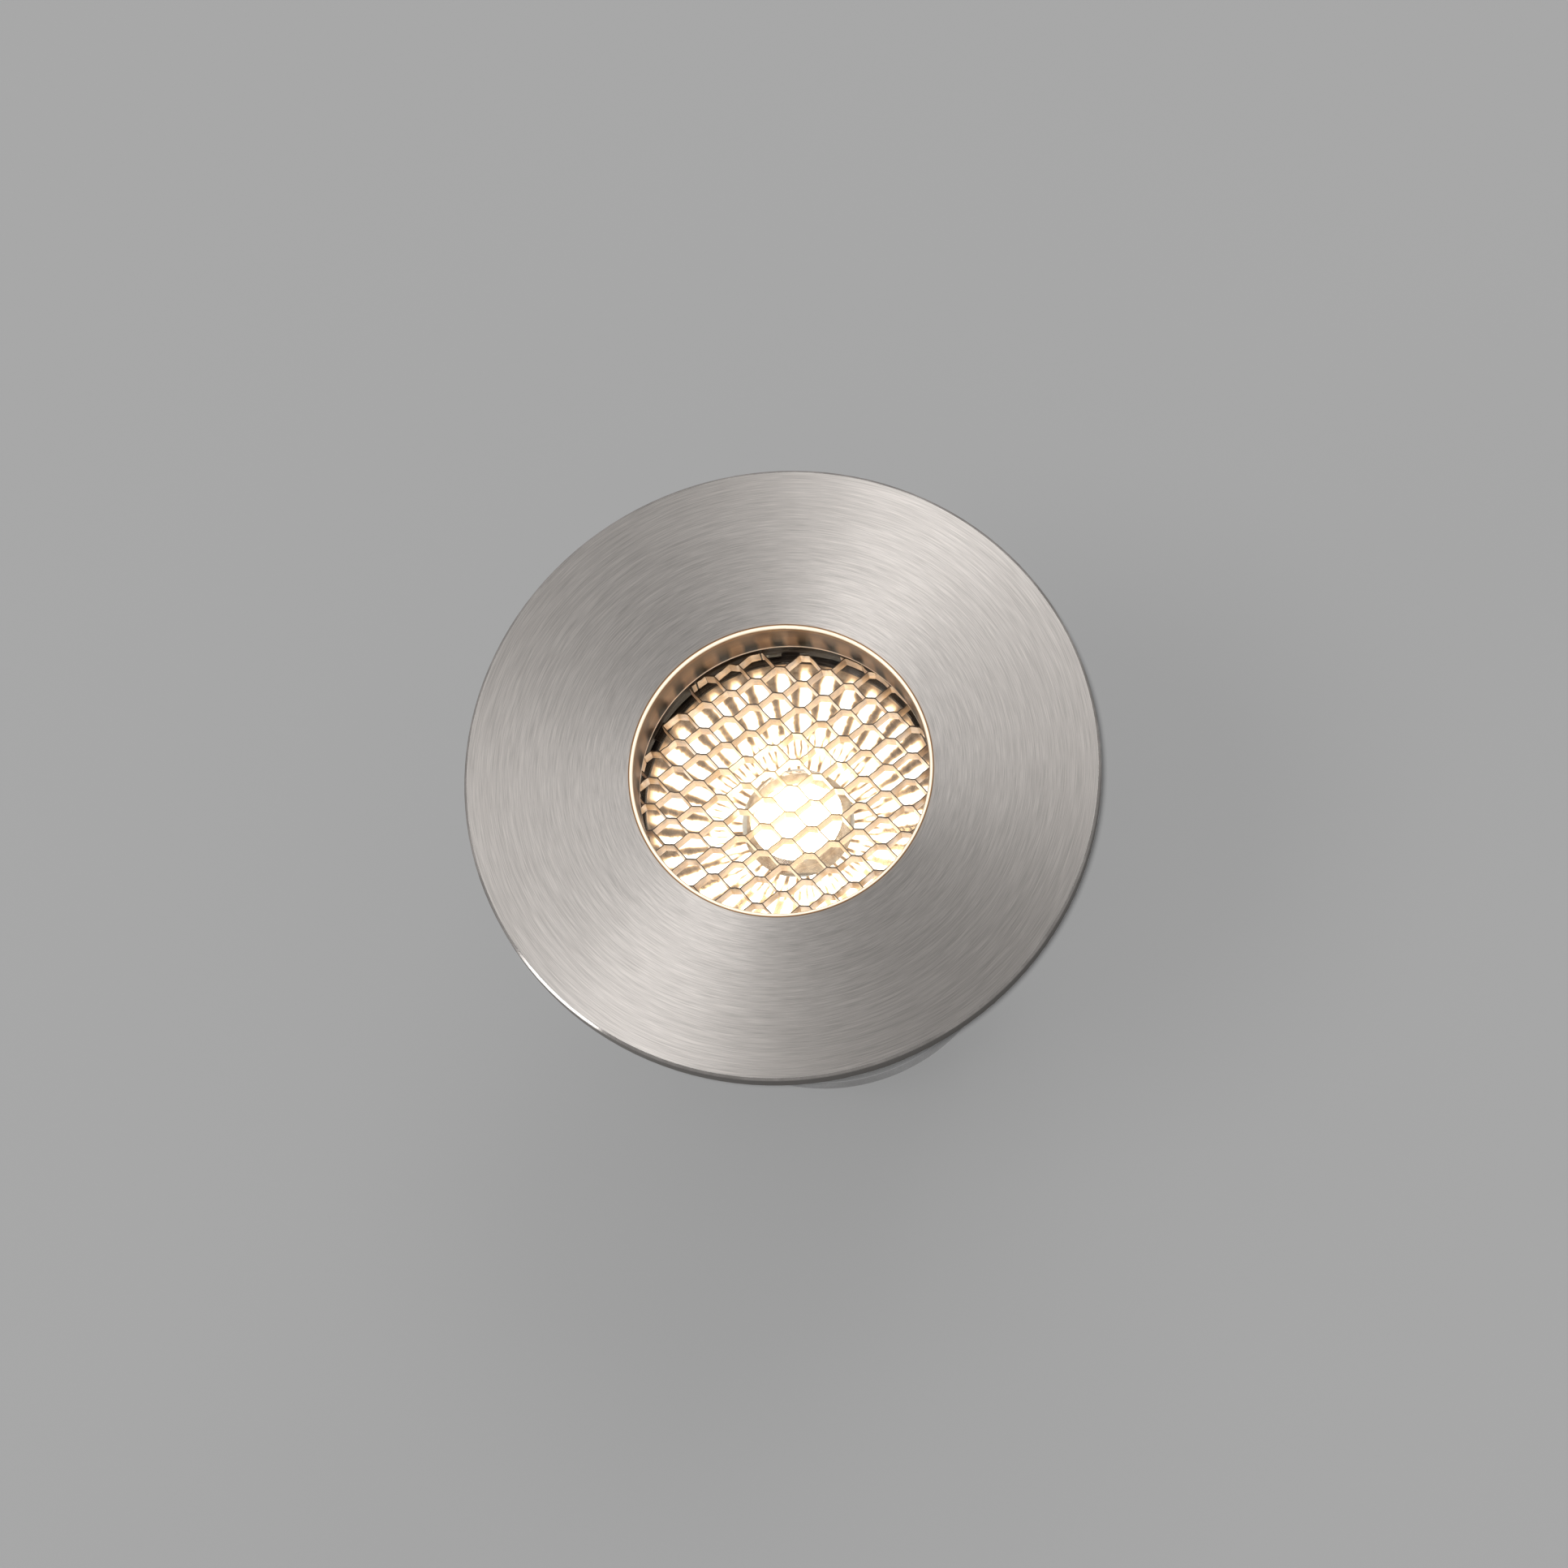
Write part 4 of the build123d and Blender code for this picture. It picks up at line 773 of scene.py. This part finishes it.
# Housing and rear cap: die-cast aluminium, bead blasted, so the skin is matt with a fine even grain and
# slightly darker drifts. Its edges are rubbed bright. The cap is held to the housing by its screws.
cast = grain(
    finish("cast_aluminium", (0.51, 0.508, 0.51), metallic=0.85),
    0.0003, ((0.43, 0.428, 0.432), (0.59, 0.586, 0.588)), (0.36, 0.55), 0.00004, detail=5.0,
)
cast_colour = cast.node_tree.nodes["Principled BSDF"].inputs["Base Color"]
skin = cast_colour.links[0].from_socket
rounded_off = node(cast, "Bevel", samples=6, Radius=0.00045)
true_face = node(cast, "NewGeometry")
alike = node(cast, "VectorMath", operation="DOT_PRODUCT")
worn = node(cast, "MapRange", From_Min=0.985, From_Max=0.9, To_Min=0.0, To_Max=0.75)
cast_place = node(cast, "TexCoord")
smudges = node(cast, "TexNoise", Scale=55.0, Detail=4.0, Roughness=0.6)
smudge_tone = ramp(cast, (0.35, (0.83, 0.82, 0.81)), (0.65, (1.08, 1.08, 1.08)))
smudged = layer(cast, "MULTIPLY", share=1.0)
edge_bright = layer(cast, "MIX", over=(0.8, 0.8, 0.8))
join(
    cast,
    (rounded_off.outputs[0], alike.inputs[0]),
    (true_face.outputs["Normal"], alike.inputs[1]),
    (alike.outputs["Value"], worn.inputs["Value"]),
    (cast_place.outputs["Object"], smudges.inputs["Vector"]),
    (smudges.outputs["Fac"], smudge_tone.inputs[0]),
    (skin, smudged.inputs[6]),
    (smudge_tone.outputs[0], smudged.inputs[7]),
    (worn.outputs[0], edge_bright.inputs[0]),
    (smudged.outputs[2], edge_bright.inputs[6]),
    (edge_bright.outputs[2], cast_colour),
)
dress(cast, "housing", "rear_cap")

# Screws and pins: plain steel, turned and tumbled. Screws hold board, ring, cap and brackets to the housing,
# and a headed pin carries each clip.
screw_steel = grain(
    finish("screw_steel", (0.55, 0.55, 0.56), metallic=1.0),
    0.0008, ((0.5, 0.5, 0.51), (0.6, 0.6, 0.61)), (0.25, 0.38), 0.000003,
)
dress(screw_steel, "board_screws", "ring_screws", "rear_cap_screws", "bracket_screws")
dress(screw_steel, "clip_pin_1", "clip_pin_2")

# Leads: stranded wire in silicone insulation, red and black.
# They run from the driver board through the grommet to their solder pads on the LED board.
leads = {
    "lead_positive": ((0.5, 0.03, 0.02), (0.66, 0.05, 0.04)),
    "lead_negative": ((0.025, 0.025, 0.03), (0.04, 0.04, 0.045)),
}
for lead, tones in leads.items():
    dress(grain(finish(lead + "_skin", tones[1]), 0.0008, tones, (0.35, 0.5), 0.000005), lead)

# Driver: a glass-fibre board on the posts of a white nylon tray, which insulates it from the housing. It
# carries an inductor, a capacitor, a film filter and the terminals. The gland's thrust ring is nylon too.
nylon = grain(
    finish("white_nylon", (0.8, 0.79, 0.74)),
    0.0012, ((0.77, 0.76, 0.71), (0.83, 0.82, 0.77)), (0.35, 0.5), 0.000008,
)
dress(nylon, "driver_tray", "gland_thrust_ring")
fibre = grain(
    finish("board_green", (0.03, 0.2, 0.09)),
    0.0009, ((0.02, 0.15, 0.07), (0.04, 0.24, 0.11)), (0.3, 0.45), 0.000004, (1, 0.2, 1),
)
dress(fibre, "driver_board")
ferrite = grain(
    finish("ferrite", (0.1, 0.1, 0.11)),
    0.0004, ((0.08, 0.08, 0.09), (0.13, 0.13, 0.14)), (0.55, 0.7), 0.00001,
)
dress(ferrite, "driver_inductor")
sleeve = grain(
    finish("can_black", (0.05, 0.05, 0.07)), 0.002, ((0.045, 0.045, 0.065), (0.06, 0.06, 0.08)), (0.2, 0.3),
)
dress(sleeve, "driver_capacitor")
film = grain(
    finish("film_red", (0.5, 0.12, 0.05)),
    0.0015, ((0.45, 0.1, 0.04), (0.55, 0.14, 0.06)), (0.2, 0.32), 0.00001,
)
dress(film, "driver_filter")
terminal = grain(
    finish("terminal_grey", (0.35, 0.37, 0.38)),
    0.0008, ((0.32, 0.34, 0.35), (0.38, 0.4, 0.41)), (0.4, 0.52), 0.000006,
)
dress(terminal, "terminal_block")

# Cable gland: body, locknut and compression nut turned from brass and nickel plated, satin with a few soft
# smudges. The body goes through the cap to its locknut, and the nut squeezes the seal round the cable.
nickel = grain(
    finish("nickel_brass", (0.5, 0.46, 0.39), metallic=1.0),
    0.0025, ((0.42, 0.38, 0.32), (0.56, 0.52, 0.45)), (0.2, 0.36), 0.000004,
)
dress(nickel, "gland_body", "gland_locknut", "gland_nut")

# Spring clips: bracket and arm stamped and bent from stainless strip, with its rolling marks lengthwise.
# The bracket is screwed to the housing and the arm turns on the pin.
strip = grain(
    finish("strip_stainless", (0.6, 0.59, 0.57), metallic=1.0),
    0.00015, ((0.53, 0.52, 0.5), (0.65, 0.64, 0.62)), (0.26, 0.4), 0.000002, (1, 1, 30),
)
dress(strip, "clip_bracket_1", "clip_bracket_2", "clip_arm_1", "clip_arm_2")

# Clip springs: hard-drawn wire, a leg under the arm, four turns round the pin and a foot against the bracket.
# The same spring is built for both clips, the second turned half round, in place of each CAD spring.
wire_r, coil_r, coil_turns, coil_pitch, foot_l = 0.00035, 0.0020, 4, 0.0012, 0.0050
arm_lean, leg_end = np.radians(21), np.array([0.0090, -0.0002])
pivot = np.array([0.0280, 0.0, -0.0240])


def spring_path(leg_steps, coil_steps):
    """Points of a torsion spring's wire: a straight leg that leaves the coil along its tangent, an even helix
    round the pin, and a straight foot downwards. Places along and off the arm are turned upright last."""
    far = np.hypot(*leg_end)
    first = np.arctan2(leg_end[1], leg_end[0]) - np.arccos(coil_r / far)
    last = np.arctan2(-np.cos(arm_lean), -np.sin(arm_lean))
    sweep = 2 * np.pi * coil_turns + first - last
    height = coil_pitch * sweep / (2 * np.pi)
    share = np.linspace(0, 1, coil_steps)[:, None]
    angle = first - sweep * share
    coil = np.concatenate([coil_r * np.cos(angle), coil_r * np.sin(angle), height * (share - 0.5)], 1)
    run = np.linspace(0, 1, leg_steps, endpoint=False)[:, None]
    leg = np.append(leg_end, -height / 2) * (1 - run) + coil[0] * run
    along = np.array([np.sin(arm_lean), 0, np.cos(arm_lean)])
    off = np.array([np.cos(arm_lean), 0, -np.sin(arm_lean)])
    upright = np.concatenate([leg, coil]) @ np.stack([along, off, (0, 1, 0)])
    foot = upright[-1] - np.array([0, 0, foot_l]) * np.linspace(0, 1, leg_steps + 1)[1:, None]
    return np.concatenate([upright, foot]) + pivot


def tube(path, thick_r, sides):
    """A closed tube along the path: at each point a circle across its direction, with the ends capped."""
    way = np.gradient(path, axis=0)
    way /= np.linalg.norm(way, axis=1, keepdims=True)
    side = np.cross(way, (0, 1, 0))
    side /= np.linalg.norm(side, axis=1, keepdims=True)
    other = np.cross(side, way)
    angle = np.linspace(0, 2 * np.pi, sides, endpoint=False)[None, :, None]
    points = path[:, None] + thick_r * (side[:, None] * np.cos(angle) + other[:, None] * np.sin(angle))
    index = np.arange(len(path) * sides).reshape(len(path), sides)
    return points.reshape(-1, 3), grid_faces(len(path), sides) + [index[0].tolist(), index[-1, ::-1].tolist()]


wire = grain(
    finish("spring_steel", (0.48, 0.47, 0.46), metallic=1.0),
    0.0006, ((0.4, 0.39, 0.38), (0.54, 0.53, 0.52)), (0.25, 0.4), 0.000003,
)
coil_points, coil_faces = tube(spring_path(10, 131), wire_r, 12)
for number, (body, way) in enumerate((("clip_one", 1), ("clip_two", -1)), 1):
    spring = piece(f"torsion_spring_{number}", coil_points * (way, way, 1), coil_faces, wire)
    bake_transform(spring)
    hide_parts(f"clip_spring_{number}")
